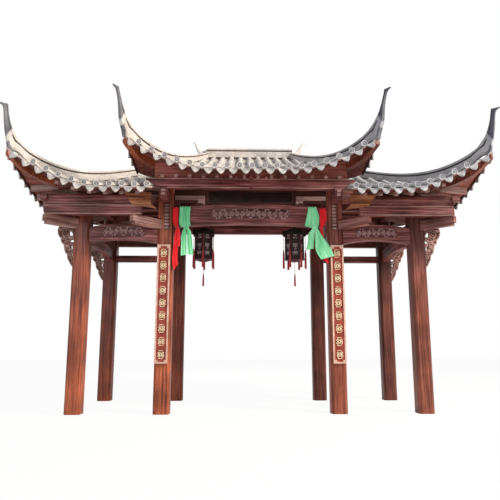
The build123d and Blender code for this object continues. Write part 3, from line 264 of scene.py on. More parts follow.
def timber(name, along, colours, rough=0.5, flat=False, post=None, corner=None):
    """Grain: a noise of small scale along the timber and large across it, or level lines if flat.
    The colours are dark, middle and light. A post has a coat of oil and painted light and shade: it is
    warmer and lighter on the left of the gateway and cooler on the right, it takes the given tint
    towards its top as painted shade under the eaves, and it is darker at the back as painted shade.
    Flat timber is lighter on the left and darker on the right, also painted light and shade. A
    corner, in metres, is where beams meet that run along the front and along the side."""
    finish = Finish(name, rough, specular=0.28)
    scale = [GRAIN_ACROSS] * 3
    scale[along] = GRAIN_ALONG
    if flat:
        scale = [GRAIN_ALONG, GRAIN_ALONG, GRAIN_LEVEL]
    grain = grain_of(finish, scale)
    if corner:
        turned = grain_of(finish, [scale[1], scale[0], scale[2]])
        on_side = finish.mixed(finish.beyond("X", corner[0]), (0, 0, 0), finish.beyond("Y", corner[1]))
        grain = finish.mixed(grain, turned, on_side)
    broad = finish.noise(finish.coords, 1.7, 3, 0.5).outputs["Fac"]
    base = finish.ramp(grain, list(zip((0.34, 0.49, 0.67), colours)))
    base = finish.times(base, finish.ramp(broad, [(0.35, (0.62, 0.58, 0.56)), (0.65, (1.2, 1.15, 1.12))]))
    if post:
        # painted light: warmer and lighter on the left of the gateway, cooler and darker on the right
        base = finish.across_front(base, (1.22, 1.1, 0.88), (0.74, 0.8, 1.0))
        # painted shade under the eaves: the post tint darkens the upper part of a post
        base = finish.across_front(base, (1.1, 1.08, 1.0), post, "Z", 1.6, 3.3)
        # painted shade: posts at the back are darker than those in front
        base = finish.across_front(base, (1, 1, 1), (0.58, 0.54, 0.54), "Y", -0.8, 0.8)
        finish.shader.inputs["Coat Weight"].default_value = 0.12
        finish.shader.inputs["Coat Roughness"].default_value = 0.3
    if flat:
        # painted light and shade: flat timber lighter on the left of the gateway and darker on the right
        base = finish.across_front(base, (1.05, 1.02, 1.0), (0.6, 0.42, 0.42))
    finish.colour(base)
    finish.bump(grain, 0.35, 0.004)
    finish.rough_by(broad, rough - 0.1, rough + 0.12)
    return finish.material


print("grain lines are", round(GRAIN_ACROSS / GRAIN_ALONG), "times longer than they are wide")

# %% [markdown]
# ## The timbers
# The grain has to run along each timber, so there is one finish for posts, one for beams along the
# front and one for timbers that run from front to back. The eave beams of a side bay run both ways
# within one node, so their grain turns where the two cross.

# %% Timber finishes
red = (0.085, 0.016, 0.008), (0.25, 0.064, 0.032), (0.42, 0.135, 0.078)
plum = (0.035, 0.008, 0.008), (0.14, 0.038, 0.034), (0.34, 0.145, 0.135)
soffit_brown = (0.11, 0.034, 0.024), (0.25, 0.08, 0.06), (0.36, 0.14, 0.11)
# red timber made pale by a painted sheen, a reflection of bright sky on the arms
red_with_painted_sheen = (0.16, 0.07, 0.058), (0.34, 0.19, 0.16), (0.5, 0.33, 0.29)
orange = (0.06, 0.02, 0.01), (0.25, 0.085, 0.038), (0.52, 0.23, 0.11)
# red timber painted pale as highlight, for edges and raised parts that catch the light
painted_highlight_red = (0.16, 0.08, 0.065), (0.33, 0.19, 0.165), (0.5, 0.35, 0.31)
shaded = (0.03, 0.008, 0.006), (0.062, 0.016, 0.011), (0.1, 0.03, 0.02)
eave_crossing = (3.59, 1.555)
# the post tints are painted shade towards the tops of the posts, stronger on the outer posts
post_wood = timber("post_timber", UPRIGHT, red, 0.45, post=(0.85, 0.9, 0.95))
outer_wood = timber("outer_post_timber", UPRIGHT, red, 0.45, post=(0.5, 0.5, 0.62))
beam_wood_x = timber("beam_timber_along", ALONG_FRONT, plum)
beam_wood_y = timber("beam_timber_across", ALONG_DEPTH, plum)
eave_wood = timber("eave_beam_timber", ALONG_FRONT, plum, corner=eave_crossing)
soffit_wood = timber("soffit_timber", ALONG_FRONT, soffit_brown, 0.6)
# the arms: pale painted sheen, lighter on the left and darker on the right as painted light and shade
arm_wood = timber("arm_timber", UPRIGHT, red_with_painted_sheen, flat=True)
orange_wood = timber("eave_timber", ALONG_FRONT, orange)
# pale timber: painted highlight on beads, teeth, trim, rafter ends and bracket bars
pale_wood = timber("painted_highlight_timber", ALONG_FRONT, painted_highlight_red)
dark_wood = timber("shaded_timber", ALONG_FRONT, shaded, 0.55)
print("timbers", [m.name for m in bpy.data.materials if "timber" in m.name])


# %% [markdown]
# ## Tile and plaster
# The tiles are weathered grey clay: broad stains from dark to pale, with fine grit over them. Painted
# light makes them warmer on the left of the gateway, and painted shade greyer on the right. A
# photograph of old clay would repeat itself from tile to tile, and noise doesn't. Lime plaster on the
# ridges is the same recipe in paler colours.

# %% Tile and plaster finishes
GRIT_FINER = 14


def three_stops(colours):
    """Dark, middle and light at the places where a noise has most of its values."""
    return list(zip((0.3, 0.5, 0.7), colours))


def painted_side_light(finish, base):
    """Clay colour with painted light: warm on the left of the roofs, and grey and darker on the right as
    painted shade.
    """
    return finish.across_front(base, (1.06, 1.02, 0.97), (0.74, 0.765, 0.82), low=-0.8, high=2.2)


def weathered(name, colours, scale, rough=0.75, depth=0.006, side_lit=False):
    """Weathering: two noises, a broad one for stains, which goes through dark, middle and light,
    and a fine one for grit, which also gives relief of a depth in metres."""
    finish = Finish(name, rough, specular=0.3)
    stain = finish.noise(finish.coords, scale, 5, 0.6).outputs["Fac"]
    grit = finish.noise(finish.coords, scale * GRIT_FINER, 4, 0.65).outputs["Fac"]
    speck = finish.ramp(grit, [(0.3, (0.72, 0.71, 0.70)), (0.6, (1.06, 1.05, 1.04))])
    base = finish.times(finish.ramp(stain, three_stops(colours)), speck)
    # painted light and shade from left to right on the roof clay when side_lit
    finish.colour(painted_side_light(finish, base) if side_lit else base)
    finish.bump(grit, 0.5, depth)
    return finish.material


cover_clay = (0.36, 0.34, 0.33), (0.60, 0.57, 0.55), (0.78, 0.75, 0.72)
eave_clay = (0.27, 0.26, 0.26), (0.5, 0.48, 0.47), (0.74, 0.71, 0.69)
bed_clay = (0.30, 0.29, 0.29), (0.52, 0.50, 0.48), (0.7, 0.68, 0.65)
lime = (0.5, 0.48, 0.46), (0.72, 0.69, 0.66), (0.85, 0.82, 0.79)
slate_grey = (0.22, 0.22, 0.24), (0.34, 0.34, 0.36), (0.48, 0.48, 0.5)
cover_tile = weathered("cover_tile", cover_clay, 3.2, side_lit=True)
eave_tile = weathered("eave_tile", eave_clay, 5.0, side_lit=True)
roof_bed = weathered("roof_bed", bed_clay, 2.4, side_lit=True)
plaster = weathered("ridge_plaster", lime, 2.0, 0.8)
horn_tile = weathered("horn_tile", slate_grey, 3.5)
print("tile and plaster", [m.name for m in (cover_tile, eave_tile, roof_bed, plaster, horn_tile)])

# %% [markdown]
# ## Paint
# The long boards on the middle posts are painted red inside a cream rim, and the board over the
# beam is near black. Old paint is uneven in the same way as stone, with finer grit and more gloss,
# so it takes the same recipe.

# %% Painted finishes
board_red = (0.17, 0.022, 0.012), (0.27, 0.04, 0.024), (0.36, 0.07, 0.045)
cream = (0.52, 0.3, 0.22), (0.64, 0.4, 0.31), (0.74, 0.52, 0.43)
gold = (0.74, 0.58, 0.32), (0.86, 0.74, 0.48), (0.93, 0.85, 0.63)
near_black = (0.008, 0.004, 0.003), (0.016, 0.007, 0.006), (0.03, 0.012, 0.01)
soot_black = (0.004, 0.004, 0.003), (0.012, 0.01, 0.008), (0.03, 0.02, 0.015)
PAINT_GRIT = 0.001
red_paint = weathered("couplet_red", board_red, 6, 0.5, PAINT_GRIT)
cream_paint = weathered("couplet_cream", cream, 7, 0.5, PAINT_GRIT)
gold_paint = weathered("couplet_gold", gold, 9, 0.45, PAINT_GRIT)
black_paint = weathered("plaque_black", near_black, 6, 0.35)
lantern_wood = weathered("lantern_wood", soot_black, 8, 0.5)
print("paints", [m.name for m in (red_paint, cream_paint, gold_paint, black_paint, lantern_wood)])

# %% [markdown]
# ## Floor finish
# The floor should look almost white to the camera and still show the shadow of the gateway. So its
# shader is mixed with plain white light, and Light Path gives that light to the camera alone, so it
# adds nothing to what the lamps do.

# %% Floor finish
floor_finish = Finish("floor_pale", 0.9, specular=0.2)
floor_finish.shader.inputs["Base Color"].default_value = (0.85, 0.8, 0.76, 1)
white_share = 0.93
glow = floor_finish.add("ShaderNodeEmission", Color=(1, 1, 1, 1), Strength=1.0)
camera_sees = floor_finish.add("ShaderNodeLightPath").outputs["Is Camera Ray"]
part_seen = floor_finish.add("ShaderNodeMath", operation="MULTIPLY")
part_seen.inputs[1].default_value = white_share
floor_mix = floor_finish.add("ShaderNodeMixShader", Fac=part_seen.outputs[0])
floor_out = floor_finish.tree.nodes["Material Output"]
for start, end in ((camera_sees, part_seen.inputs[0]),
                   (floor_finish.shader.outputs[0], floor_mix.inputs[1]),
                   (glow.outputs[0], floor_mix.inputs[2]),
                   (floor_mix.outputs[0], floor_out.inputs["Surface"])):
    floor_finish.tree.links.new(start, end)
floor.data.materials.append(floor_finish.material)
print("finishes", len(bpy.data.materials))

# %% [markdown]
# ## Finishes on the solids that stay
# The timbers have their true form in the frame already, so they only take a finish. Each node gets
# one by name, roof fields and tiles get theirs by the end of the name, and a beam that isn't listed
# takes the timber of beams along the front.

# %% Give each node its finish
finish_nodes = (
    (post_wood, "centre_posts carved_post_strips"),
    (outer_wood, "outer_posts"),
    (cream_paint, "couplet_borders"),
    (gold_paint, "couplet_ornaments"),
    (red_paint, "left_couplet_board right_couplet_board"),
    (black_paint, "plaque_board"),
    (dark_wood, "plaque_rim bracket_boards"),
    (soffit_wood, "centre_soffit_boards"),
    (pale_wood, "wing_rafters"),
    (arm_wood, "left_wing_arms right_wing_arms"),
    (plaster, "centre_main_ridge wing_main_ridges centre_hip_ridges wing_hip_ridges"),
    (horn_tile, "centre_horns wing_horns"),
    (lantern_wood, "left_lantern_frame right_lantern_frame left_lantern_shade right_lantern_shade"),
    (beam_wood_y, "outer_side_beams inner_side_beams"),
    (eave_wood, "left_wing_eave_beams right_wing_eave_beams wing_eave_purlins"),
)
node_finish = {node: finish for finish, listed in finish_nodes for node in listed.split()}
finish_by_ending = {"roof_deck": roof_bed, "cover_tiles": cover_tile, "eave_tiles": eave_tile}
for name, node in nodes.items():
    finish = node_finish.get(name, beam_wood_x)
    for ending, tile_finish in finish_by_ending.items():
        finish = tile_finish if name.endswith(ending) else finish
    node.data.materials.clear()
    node.data.materials.append(finish)
print("finished", len(nodes), "nodes")

# %% [markdown]
# ## Surfaces from numbers
# Every new piece is a surface worked out on a grid. Neighbouring points of the grid are joined into
# faces, and the grid is closed round or at its ends where the piece asks for it. Lengths are
# written in millimetres, as a carpenter would, and become metres at the end.

# %% Faces of a grid
MM = 0.001
CLOSED = {"around": True, "ends": True}


def grid_faces(rows, columns, first, around, ends):
    """Faces of one grid: each joins a point to its neighbours to the right and below."""
    index = first + np.arange(rows * columns).reshape(rows, columns)
    if around:
        index = np.concatenate([index, index[:, :1]], axis=1)
    quads = np.stack([index[:-1, :-1], index[1:, :-1], index[1:, 1:], index[:-1, 1:]], -1).reshape(-1, 4)
    caps = [index[0, :columns], index[-1, :columns][::-1]] if ends else []
    return quads, caps


print("pieces are written in millimetres, 1 m is", round(1 / MM))

# %% [markdown]
# ## From arrays to a mesh
# A mesh could be built point by point, which is slow in Python. Blender also takes whole arrays:
# the places of all points, the corners of all faces in one long list, and where each face starts in
# that list. Numbers for the finish can be kept on the points in the same way.

# %% From arrays to a mesh
DOUBLE = 0.00002


def mesh_of(name, points, quads, caps, values):
    """A mesh from whole arrays: points in metres, faces of four corners, caps of many corners, and
    numbers kept on the points."""
    mesh = bpy.data.meshes.new(name)
    mesh.vertices.add(len(points))
    mesh.vertices.foreach_set("co", points.astype(np.float32).ravel())
    loops = np.concatenate([quads.ravel(), *caps])
    sizes = np.concatenate([np.full(len(quads), 4), [len(cap) for cap in caps]]).astype(np.int32)
    starts = np.concatenate([[0], np.cumsum(sizes)[:-1]]).astype(np.int32)
    mesh.loops.add(len(loops))
    mesh.loops.foreach_set("vertex_index", loops.astype(np.int32))
    mesh.polygons.add(len(sizes))
    mesh.polygons.foreach_set("loop_start", starts)
    for label, numbers in values.items():
        layer = mesh.attributes.new(label, "FLOAT", "POINT")
        layer.data.foreach_set("value", np.concatenate([n.ravel() for n in numbers]).astype(np.float32))
    mesh.update(calc_edges=True)
    mesh.validate()
    return mesh


def clean(mesh, sharp):
    """Doubles merged, faces turned outwards, and an edge sharp where its faces turn by more than the
    given degrees."""
    work = bmesh.new()
    work.from_mesh(mesh)
    bmesh.ops.remove_doubles(work, verts=work.verts, dist=DOUBLE)
    bmesh.ops.dissolve_degenerate(work, edges=work.edges, dist=DOUBLE)
    bmesh.ops.recalc_face_normals(work, faces=work.faces)
    work.to_mesh(mesh)
    work.free()
    mesh.polygons.foreach_set("use_smooth", np.ones(len(mesh.polygons), bool))
    mesh.set_sharp_from_angle(angle=np.radians(sharp))


print("doubled points are merged within", DOUBLE / MM, "mm")

# %% [markdown]
# ## One call for each piece
# Every piece is made by the same call. It says which finish the piece has and which solids it
# stands in for. A second helper makes the mirror images, since the gateway is the same on both sides.

# %% A piece
def surface(name, grids, finish, slot, replaced=(), around=False, ends=False, sharp=40, values=None):
    """One piece from a list of grids, each an array (rows, columns, 3) in millimetres."""
    quads, caps, first = [], [], 0
    for grid in grids:
        rows, columns = grid.shape[:2]
        found, closing = grid_faces(rows, columns, first, around, ends)
        quads.append(found)
        caps += closing
        first += rows * columns
    points = np.concatenate([grid.reshape(-1, 3) for grid in grids]) * MM
    mesh = mesh_of(name, points, np.concatenate(quads), caps, values or {})
    clean(mesh, sharp)
    mesh.materials.append(finish)
    piece = bpy.data.objects.new(name, mesh)
    scene.collection.objects.link(piece)
    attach(piece, "root")
    if replaced:
        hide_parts(*replaced)
    print(name, "faces", len(mesh.polygons))
    return piece


def left(grids):
    """The mirror images of grids on the right."""
    return [grid * (-1, 1, 1) for grid in grids]


def flipped(grids, x=False, y=False):
    """The grids together with their mirror images across the middle of the plan."""
    found = list(grids)
    if x:
        found += left(found)
    if y:
        found += [grid * (1, -1, 1) for grid in found]
    return found


print("mirror images of one piece", len(flipped([np.zeros((2, 2, 3))], x=True, y=True)))


# %% [markdown]
# ## The roof surface
# Each roof falls from its ridge along a sagging line, and its corners are swept up. The height at a
# place in plan is one formula, shared by the boards, the tiles and the hips, so they always meet.

# %% Roof formula
class Roof:
    """Height = ridge - fall * ((1 + sag) s - sag s^2) + lift * along * across, where s runs from 0 at
    the ridge to 1 at the eave, and along and across grow to 1 at the corner."""

    def __init__(self, ridge, side, front, flare, top, eave, sag, lift, lift_x, lift_y, power, fan):
        """Half lengths of ridge, side and front, heights of top and eave, and how the corners lift."""
        self.ridge, self.side, self.front, self.flare = ridge, side, front, flare
        self.top, self.eave, self.sag, self.lift = top, eave, sag, lift
        self.lift_x, self.lift_y, self.power, self.fan = lift_x, lift_y, power, fan
        self.steep = front / (side - ridge)
        self.corner_y = front + flare
        self.corner_x = ridge + self.corner_y / self.steep
        self.hip_length = np.hypot(side - ridge, front)

    def along(self, x):
        """0 up to the place where the lift starts, then a power that reaches 1 at the corner."""
        share = (np.abs(x) - self.lift_x) / (self.corner_x - self.lift_x)
        return np.clip(share, 0, None) ** self.power

    def across(self, y):
        """The same from front to back."""
        share = (np.abs(y) - self.lift_y) / (self.corner_y - self.lift_y)
        return np.clip(share, 0, None) ** self.power

    def height(self, x, y):
        """Height of the roof surface over a place in plan."""
        s = np.maximum(np.abs(y) / self.front, (np.abs(x) - self.ridge) / (self.side - self.ridge))
        fall = (1 + self.sag) * s - self.sag * s**2
        return self.top - (self.top - self.eave) * fall + self.lift * self.along(x) * self.across(y)

    def front_eave(self, x):
        """How far out the front eave lies: its front, plus the flare towards the corner."""
        return self.front + self.flare * self.along(x)

    def side_eave(self, y):
        """How far out the side eave lies."""
        return self.side + (self.corner_x - self.side) * self.across(y)

    def hip_y(self, x):
        """The hip in plan is a straight line from the end of the ridge to the corner."""
        return np.maximum(0, (np.abs(x) - self.ridge) * self.steep)

    def hip_x(self, y):
        """The same line, by the distance from the middle to the front."""
        return self.ridge + np.abs(y) / self.steep

    def front_plan(self, a, d):
        """Plan place of row a, d in front of the ridge: rows close up towards the ridge by the fan."""
        return a * (1 - self.fan * (1 - d / self.front)), 0 * a - d

    def side_plan(self, a, d):
        """Plan place of row a of the side, d from the middle."""
        return d + 0 * a, a + 0 * d


print("a roof has", [word for word in vars(Roof) if not word.startswith("_")])

# %% [markdown]
# ## The roofs and the valley
# The upper roof's sides run down into the lower roofs, and the valley between them starts where the
# fall of the upper roof reaches the ridge of the lower one. The fall is a parabola, so that place
# is the root of a quadratic equation.

# %% The roofs and the valley
centre = Roof(ridge=920, side=2150, front=2160, flare=120, top=5240, eave=4290, sag=0.34,
              lift=575, lift_x=780, lift_y=0, power=1.7, fan=0.125)
wing = Roof(ridge=2000, side=4140, front=2115, flare=115, top=4920, eave=3960, sag=0.39,
            lift=680, lift_x=2750, lift_y=325, power=1.5, fan=0.0)
drop_share = (centre.top - wing.top) / (centre.top - centre.eave)
sag_root = np.sqrt((1 + centre.sag) ** 2 - 4 * centre.sag * drop_share)
valley_tip = centre.ridge + (centre.side - centre.ridge) * (1 + centre.sag - sag_root) / (2 * centre.sag)
valley_front = 1330
valley_steep = valley_front / (centre.side - valley_tip)
VALLEY_GAP = 6


def valley_x(y):
    """Where the side of the upper roof ends on the valley line, a gap short of it."""
    return valley_tip + np.abs(y) / valley_steep - VALLEY_GAP


def valley_y(x):
    """Where the lower roof ends on the same line, a gap beyond it."""
    return np.maximum((x - valley_tip - VALLEY_GAP) * valley_steep, 0)


print("corners", *(roof.height(roof.corner_x, roof.corner_y).round(1) for roof in (centre, wing)))

# %% [markdown]
# ## Tile bed and boards
# Between the rows of cover tiles lie dished pan tiles, stepped down the slope, and below them the
# boards that the rafters carry. Each face of a roof gets two thin closed shells: the bed, whose top
# is dished between the rows and stepped at every pan, and the timber boards under it.

# %% Section of the bed and the boards
PITCH = 217
PAN = 160
PAN_DISH = 26
PAN_STEP = 11
BED_THICK = 44
BOARD_TOP, BOARD_UNDER = -43, 60


def dished(rows):
    """Dish between rows: zero on a row's axis and deepest half way to the next."""
    return -PAN_DISH * 0.5 * (1 - np.cos(2 * np.pi * rows))


def stepped(d):
    """Pans lie one over the next: the top rises by the step over each pan's length."""
    return PAN_STEP * ((d / PAN) % 1.0 - 1)


def slab(roof, plan, a, top, foot, upper, under, share, rows=None):
    """Closed shell between two heights over the roof surface, one ring per column."""
    a, top, foot = (np.asarray(v, float)[:, None] for v in (a, top, foot))
    d = top + (foot - top) * share[None, :]
    x, y = plan(a, d)
    z = roof.height(x, y)
    over = upper + (dished(rows)[:, None] + stepped(d) if rows is not None else 0)
    roof_side = np.stack([x, y, z + over + 0 * d], -1)
    room_side = np.stack([x, y, z - under], -1)[:, ::-1]
    return np.concatenate([roof_side, room_side], 1)


print("rows", PITCH, "apart, pans", PAN, "long")

# %% [markdown]
# ## The faces of the roofs
# Each face is a set of columns, and each column runs from an upper end, on the ridge or a hip, to a
# foot, on the eave or in the valley. The lower roof's front has four stretches: outside the upper
# roof, in the valley, and two narrow ones that show under the upper roof's eave.

# %% Faces, with the ends of their columns
def front_face(roof, low, high, top_of, foot_of, columns, phase):
    """Columns along the front between two places. The phase is the row that the dish starts from."""
    a = np.linspace(low, high, columns)
    foot = foot_of(a)
    return roof, roof.front_plan, a, np.minimum(top_of(a), foot), foot, phase


def side_face(roof, foot_of, columns=169):
    """Columns along the side, from corner to corner."""
    a = np.linspace(-roof.corner_y, roof.corner_y, columns)
    return roof, roof.side_plan, a, roof.hip_x(a), np.maximum(foot_of(a), roof.hip_x(a)), 0


def hip_top(roof, a):
    """Where a fanned row leaves the hip line."""
    lean = roof.steep * np.abs(a) * roof.fan / roof.front
    return np.maximum(roof.steep * (np.abs(a) * (1 - roof.fan) - roof.ridge) / (1 - lean), 0)


def centre_side_foot(a):
    """The side of the upper roof ends in the valley, and on its eave in front of that."""
    return np.where(np.abs(a) <= valley_front, valley_x(a), centre.side_eave(a))


fan_reach = 1 - centre.fan * (1 - centre.corner_y / centre.front)
centre_reach = centre.corner_x / fan_reach
wing_phase = (centre.side + PITCH / 2) / PITCH
under_edge, stub_edge = 1960, 1760
under_top, stub_top = 1345, 1710
TIP_CLEAR = 8
faces = {
    "centre_front": front_face(centre, -centre_reach, centre_reach, lambda a: hip_top(centre, a),
                               centre.front_eave, 169, 0),
    "wing_front": front_face(wing, centre.side, wing.corner_x, wing.hip_y, wing.front_eave, 81, wing_phase),
    "wing_valley": front_face(wing, valley_tip + TIP_CLEAR, centre.side, wing.hip_y, valley_y, 33,
                              wing_phase),
    "wing_under": front_face(wing, under_edge, centre.side, lambda a: 0 * a + under_top,
                             wing.front_eave, 9, wing_phase),
    "wing_stub": front_face(wing, stub_edge, under_edge, lambda a: 0 * a + stub_top,
                            wing.front_eave, 9, wing_phase),
    "centre_side": side_face(centre, centre_side_foot),
    "wing_side": side_face(wing, wing.side_eave),
}
print("faces", list(faces))

# %% [markdown]
# ## Beds and boards of the three roofs
# The bed has many points down each column, for the steps of the pans, and the boards below it need
# only enough to follow the curve. The left roof is the mirror image of the right one.

# %% Beds and boards of the three roofs
steps = np.linspace(0, 1, 40)
plain_steps = np.linspace(0, 1, 14)
bed, boards = {}, {}
for name, (roof, plan, a, top, foot, phase) in faces.items():
    ways = {"x": name == "centre_side", "y": "side" not in name}
    bed[name] = flipped([slab(roof, plan, a, top, foot, 0, BED_THICK, steps, a / PITCH - phase)], **ways)
    boards[name] = flipped([slab(roof, plan, a, top, foot, BOARD_TOP, BOARD_UNDER, plain_steps)], **ways)
wing_faces = ("wing_front", "wing_valley", "wing_under", "wing_stub", "wing_side")
for kind, parts, finish, slot in (("tile_bed", bed, roof_bed, "roof_bed"),
                                  ("boards", boards, soffit_wood, "soffit_timber")):
    right_parts = [grid for face in wing_faces for grid in parts[face]]
    surface(f"centre_{kind}", parts["centre_front"] + parts["centre_side"], finish, slot,
            ["centre_roof_deck"], **CLOSED)
    surface(f"right_{kind}", right_parts, finish, slot, ["right_wing_roof_deck"], **CLOSED)
    surface(f"left_{kind}", left(right_parts), finish, slot, ["left_wing_roof_deck"], **CLOSED)

# %% [markdown]
# ## Cover tiles
# A row of half-round tiles covers each joint between pans. Every tile tapers a little, so the lower
# end of one stands over the upper end of the next, which gives the row its fine ribs. A row is a
# half-round profile carried down the slope, with three rings to a tile.

# %% One row of cover tiles
COVER_LENGTH, COVER_WIDTH, COVER_HEIGHT, COVER_SUNK = 150, 112, 56, 4
HALF_COVER = COVER_WIDTH / 2
half_turn = np.linspace(0, np.pi, 9)


def cover_row(roof, plan, a, top, foot):
    """Rings down the row: half the width times the cosine across, and the height times the sine up.
    The size grows from 0.9 to 1 over each tile."""
    tiles = max(int(round((foot - top) / COVER_LENGTH)), 1)
    marks = np.arange(tiles)[:, None] + np.array([0.0, 0.5, 1.0])[None, :]
    grow = np.broadcast_to([0.9, 0.95, 1.0], marks.shape).ravel()[:, None]
    d = top + (foot - top) * marks.ravel()[:, None] / tiles
    across = -COVER_WIDTH / 2 * np.cos(half_turn)[None, :] * grow
    up = COVER_HEIGHT * np.sin(half_turn)[None, :] * grow
    x, y = plan(a + across, d)
    return np.stack([x, y, roof.height(x, y) + up - COVER_SUNK], -1)


HIP_HALF = 62
RIDGE_CLEAR = 70
OVERRUN = 26


def hip_stop(roof, a):
    """Where the outer edge of a front row meets the side of the hip ridge."""
    spread = roof.fan * np.abs(a) / roof.front
    start = np.abs(a) * (1 - roof.fan) + HALF_COVER - roof.ridge
    return (roof.steep * start + HIP_HALF * np.hypot(1, roof.steep)) / (1 - roof.steep * spread)


def side_stop(roof, a):
    """The same for a row of the side."""
    return float(roof.hip_x(abs(a) + HALF_COVER)) + HIP_HALF * np.hypot(1, 1 / roof.steep)


ROWS = range(-10, 11)
print("a row meets the hip", round(side_stop(wing, PITCH)), "from the middle")

# %% [markdown]
# ## Rows of the upper roof
# Rows stand a pitch apart, counted from the middle. One that would be shorter than a tile is wide is
# left out, and so is one that would cross from the eave into the valley. The eave end of each row is
# kept, because a disc goes there.

# %% Rows of the upper roof
centre_rows, centre_eaves, side_eaves = [], [], []
for i in ROWS:
    a = i * PITCH
    foot = float(centre.front_eave(a))
    top = max(RIDGE_CLEAR, float(hip_stop(centre, a)))
    if foot - top > COVER_WIDTH:
        centre_rows += flipped([cover_row(centre, centre.front_plan, a, top, foot + OVERRUN)], y=True)
        centre_eaves.append((a, foot + OVERRUN))
for i in ROWS:
    a = i * PITCH
    at_eave = abs(a) - HALF_COVER > valley_front
    crosses = not at_eave and abs(a) + HALF_COVER > valley_front
    top = side_stop(centre, a)
    foot = float(centre.side_eave(a)) if at_eave else float(valley_x(max(0, abs(a) - HALF_COVER)))
    if i == 0 or crosses or foot - top < COVER_WIDTH:
        continue
    reach = OVERRUN if at_eave else 0
    centre_rows += flipped([cover_row(centre, centre.side_plan, a, top, foot + reach)], x=True)
    if at_eave:
        side_eaves.append((a, foot + reach))
surface("centre_covers", centre_rows, cover_tile, "cover_tile", ["centre_cover_tiles"], ends=True, sharp=35)

# %% [markdown]
# ## Rows of the lower roofs
# On the lower roofs the rows are counted from the upper roof's side. Rows inside it run from the
# ridge into the valley, and two short ones come out again under the upper eave.

# %% Rows of the lower roofs
short_rows = ((-1, 1350), (-2, 1715))
wing_rows, wing_eaves, wing_side_eaves = [], [], []
for k in range(-4, 10):
    a = centre.side + (k + 0.5) * PITCH
    top = max(RIDGE_CLEAR, hip_stop(wing, a))
    foot = float(wing.front_eave(a))
    if k >= 0 and foot - top > COVER_WIDTH:
        wing_rows.append(cover_row(wing, wing.front_plan, a, top, foot + OVERRUN))
        wing_eaves.append((a, foot + OVERRUN))
    if k < 0 and valley_y(a - HALF_COVER) - top > COVER_WIDTH:
        wing_rows.append(cover_row(wing, wing.front_plan, a, top, float(valley_y(a - HALF_COVER))))
for k, start in short_rows:
    a = centre.side + (k + 0.5) * PITCH
    wing_rows.append(cover_row(wing, wing.front_plan, a, start, wing.front + OVERRUN))
    wing_eaves.append((a, wing.front + OVERRUN))
wing_rows = flipped(wing_rows, y=True)
for i in ROWS:
    a = i * PITCH
    top = side_stop(wing, a)
    foot = float(wing.side_eave(a))
    if foot - top > COVER_WIDTH:
        wing_rows.append(cover_row(wing, wing.side_plan, a, top, foot + OVERRUN))
        wing_side_eaves.append((a, foot + OVERRUN))
for side, rows in (("right", wing_rows), ("left", left(wing_rows))):
    surface(f"{side}_covers", rows, cover_tile, "cover_tile", [f"{side}_wing_cover_tiles"], ends=True,
            sharp=35)

# %% [markdown]
# ## Eave tiles
# A moulded disc closes each row of cover tiles, and a lip hangs from the pans between two rows to
# throw the rain clear. Both are set square to the eave, so each is one grid placed in a frame of its
# own: a direction along the eave, a direction up and a direction out.

# %% A pattern set into the eave
def placed(along_part, up_part, out_part, origin, along, outward):
    """A flat pattern put into the frame of an eave place."""
    along = along / np.linalg.norm(along)
    up = np.cross(outward, along)
    up = up if up[2] > 0 else -up
    return (origin + along_part[..., None] * along + up_part[..., None] * up
            + out_part[..., None] * outward)


def eave_line(roof, plan, a, d):
    """The place on the roof surface of row a at distance d."""
    x, y = plan(a, d)
    return np.array([float(x), float(y), float(roof.height(x, y))])


print("middle of the upper eave", eave_line(centre, centre.front_plan, 0, centre.front))

# %% [markdown]
# ## Discs
# The disc is turned: rings of growing reach, each with how far it stands out, give a knob in the
# middle, a sunk ring round it and a raised rim. The reach is kept on the points, so that the face
# inside the rim can be darker than the rim.

# %% Discs
DISC_RADIUS = 54
DISC_OVER = 22
circle = np.linspace(0, 2 * np.pi, 19)[:-1]
disc_reach = np.array([0.01, 0.24, 0.3, 0.44, 0.5, 0.76, 0.82, 0.97, 1.0, 1.0])
disc_out = np.array([26, 25, 20, 20, 16, 16, 25, 25, 20, -6])
disc_along = DISC_RADIUS * disc_reach[:, None] * np.cos(circle)[None, :]
disc_up = DISC_RADIUS * disc_reach[:, None] * np.sin(circle)[None, :]
disc_depth = np.broadcast_to(disc_out[:, None], disc_along.shape)
disc_share = np.repeat(disc_reach[:, None], len(circle), 1)


def disc(roof, plan, a, d):
    """Disc on the end of a row, turned with the slope of the eave there."""
    sides = [eave_line(roof, plan, a + side, d) for side in (-DISC_RADIUS, DISC_RADIUS)]
    outward = np.array([0.0, -1.0, 0.0]) if plan == roof.front_plan else np.array([1.0, 0.0, 0.0])
    origin = eave_line(roof, plan, a, d) + (0, 0, DISC_OVER)
    return placed(disc_along, disc_up, disc_depth, origin, sides[1] - sides[0], outward)


def disc_finish():
    """Pale rim of a disc, darker over the knob and the moulded middle inside it, with painted light from
    left to right.
    """
    finish = Finish("eave_disc", 0.75, specular=0.3)
    stain = finish.noise(finish.coords, 9.0, 5, 0.6).outputs["Fac"]
    clay = finish.ramp(stain, three_stops(((0.36, 0.35, 0.35), (0.56, 0.54, 0.53), (0.76, 0.73, 0.71))))
    darker_inside = finish.ramp(finish.kept("reach"), [
        (0.0, (0.56, 0.56, 0.58)), (0.3, (0.5, 0.5, 0.52)), (0.7, (0.55, 0.55, 0.57)),
        (0.86, (1, 1, 1)), (1.0, (1, 1, 1))])
    finish.colour(painted_side_light(finish, finish.times(clay, darker_inside)))
    finish.bump(stain, 0.4, 0.004)
    return finish.material


disc_clay = disc_finish()
print("disc points", disc_along.size)

# %% [markdown]
# ## Drip lips
# A lip is a thin tongue. It fills the dish of the pans at its top, swells a little forwards and
# narrows to a point, and a power curve gives it round shoulders.

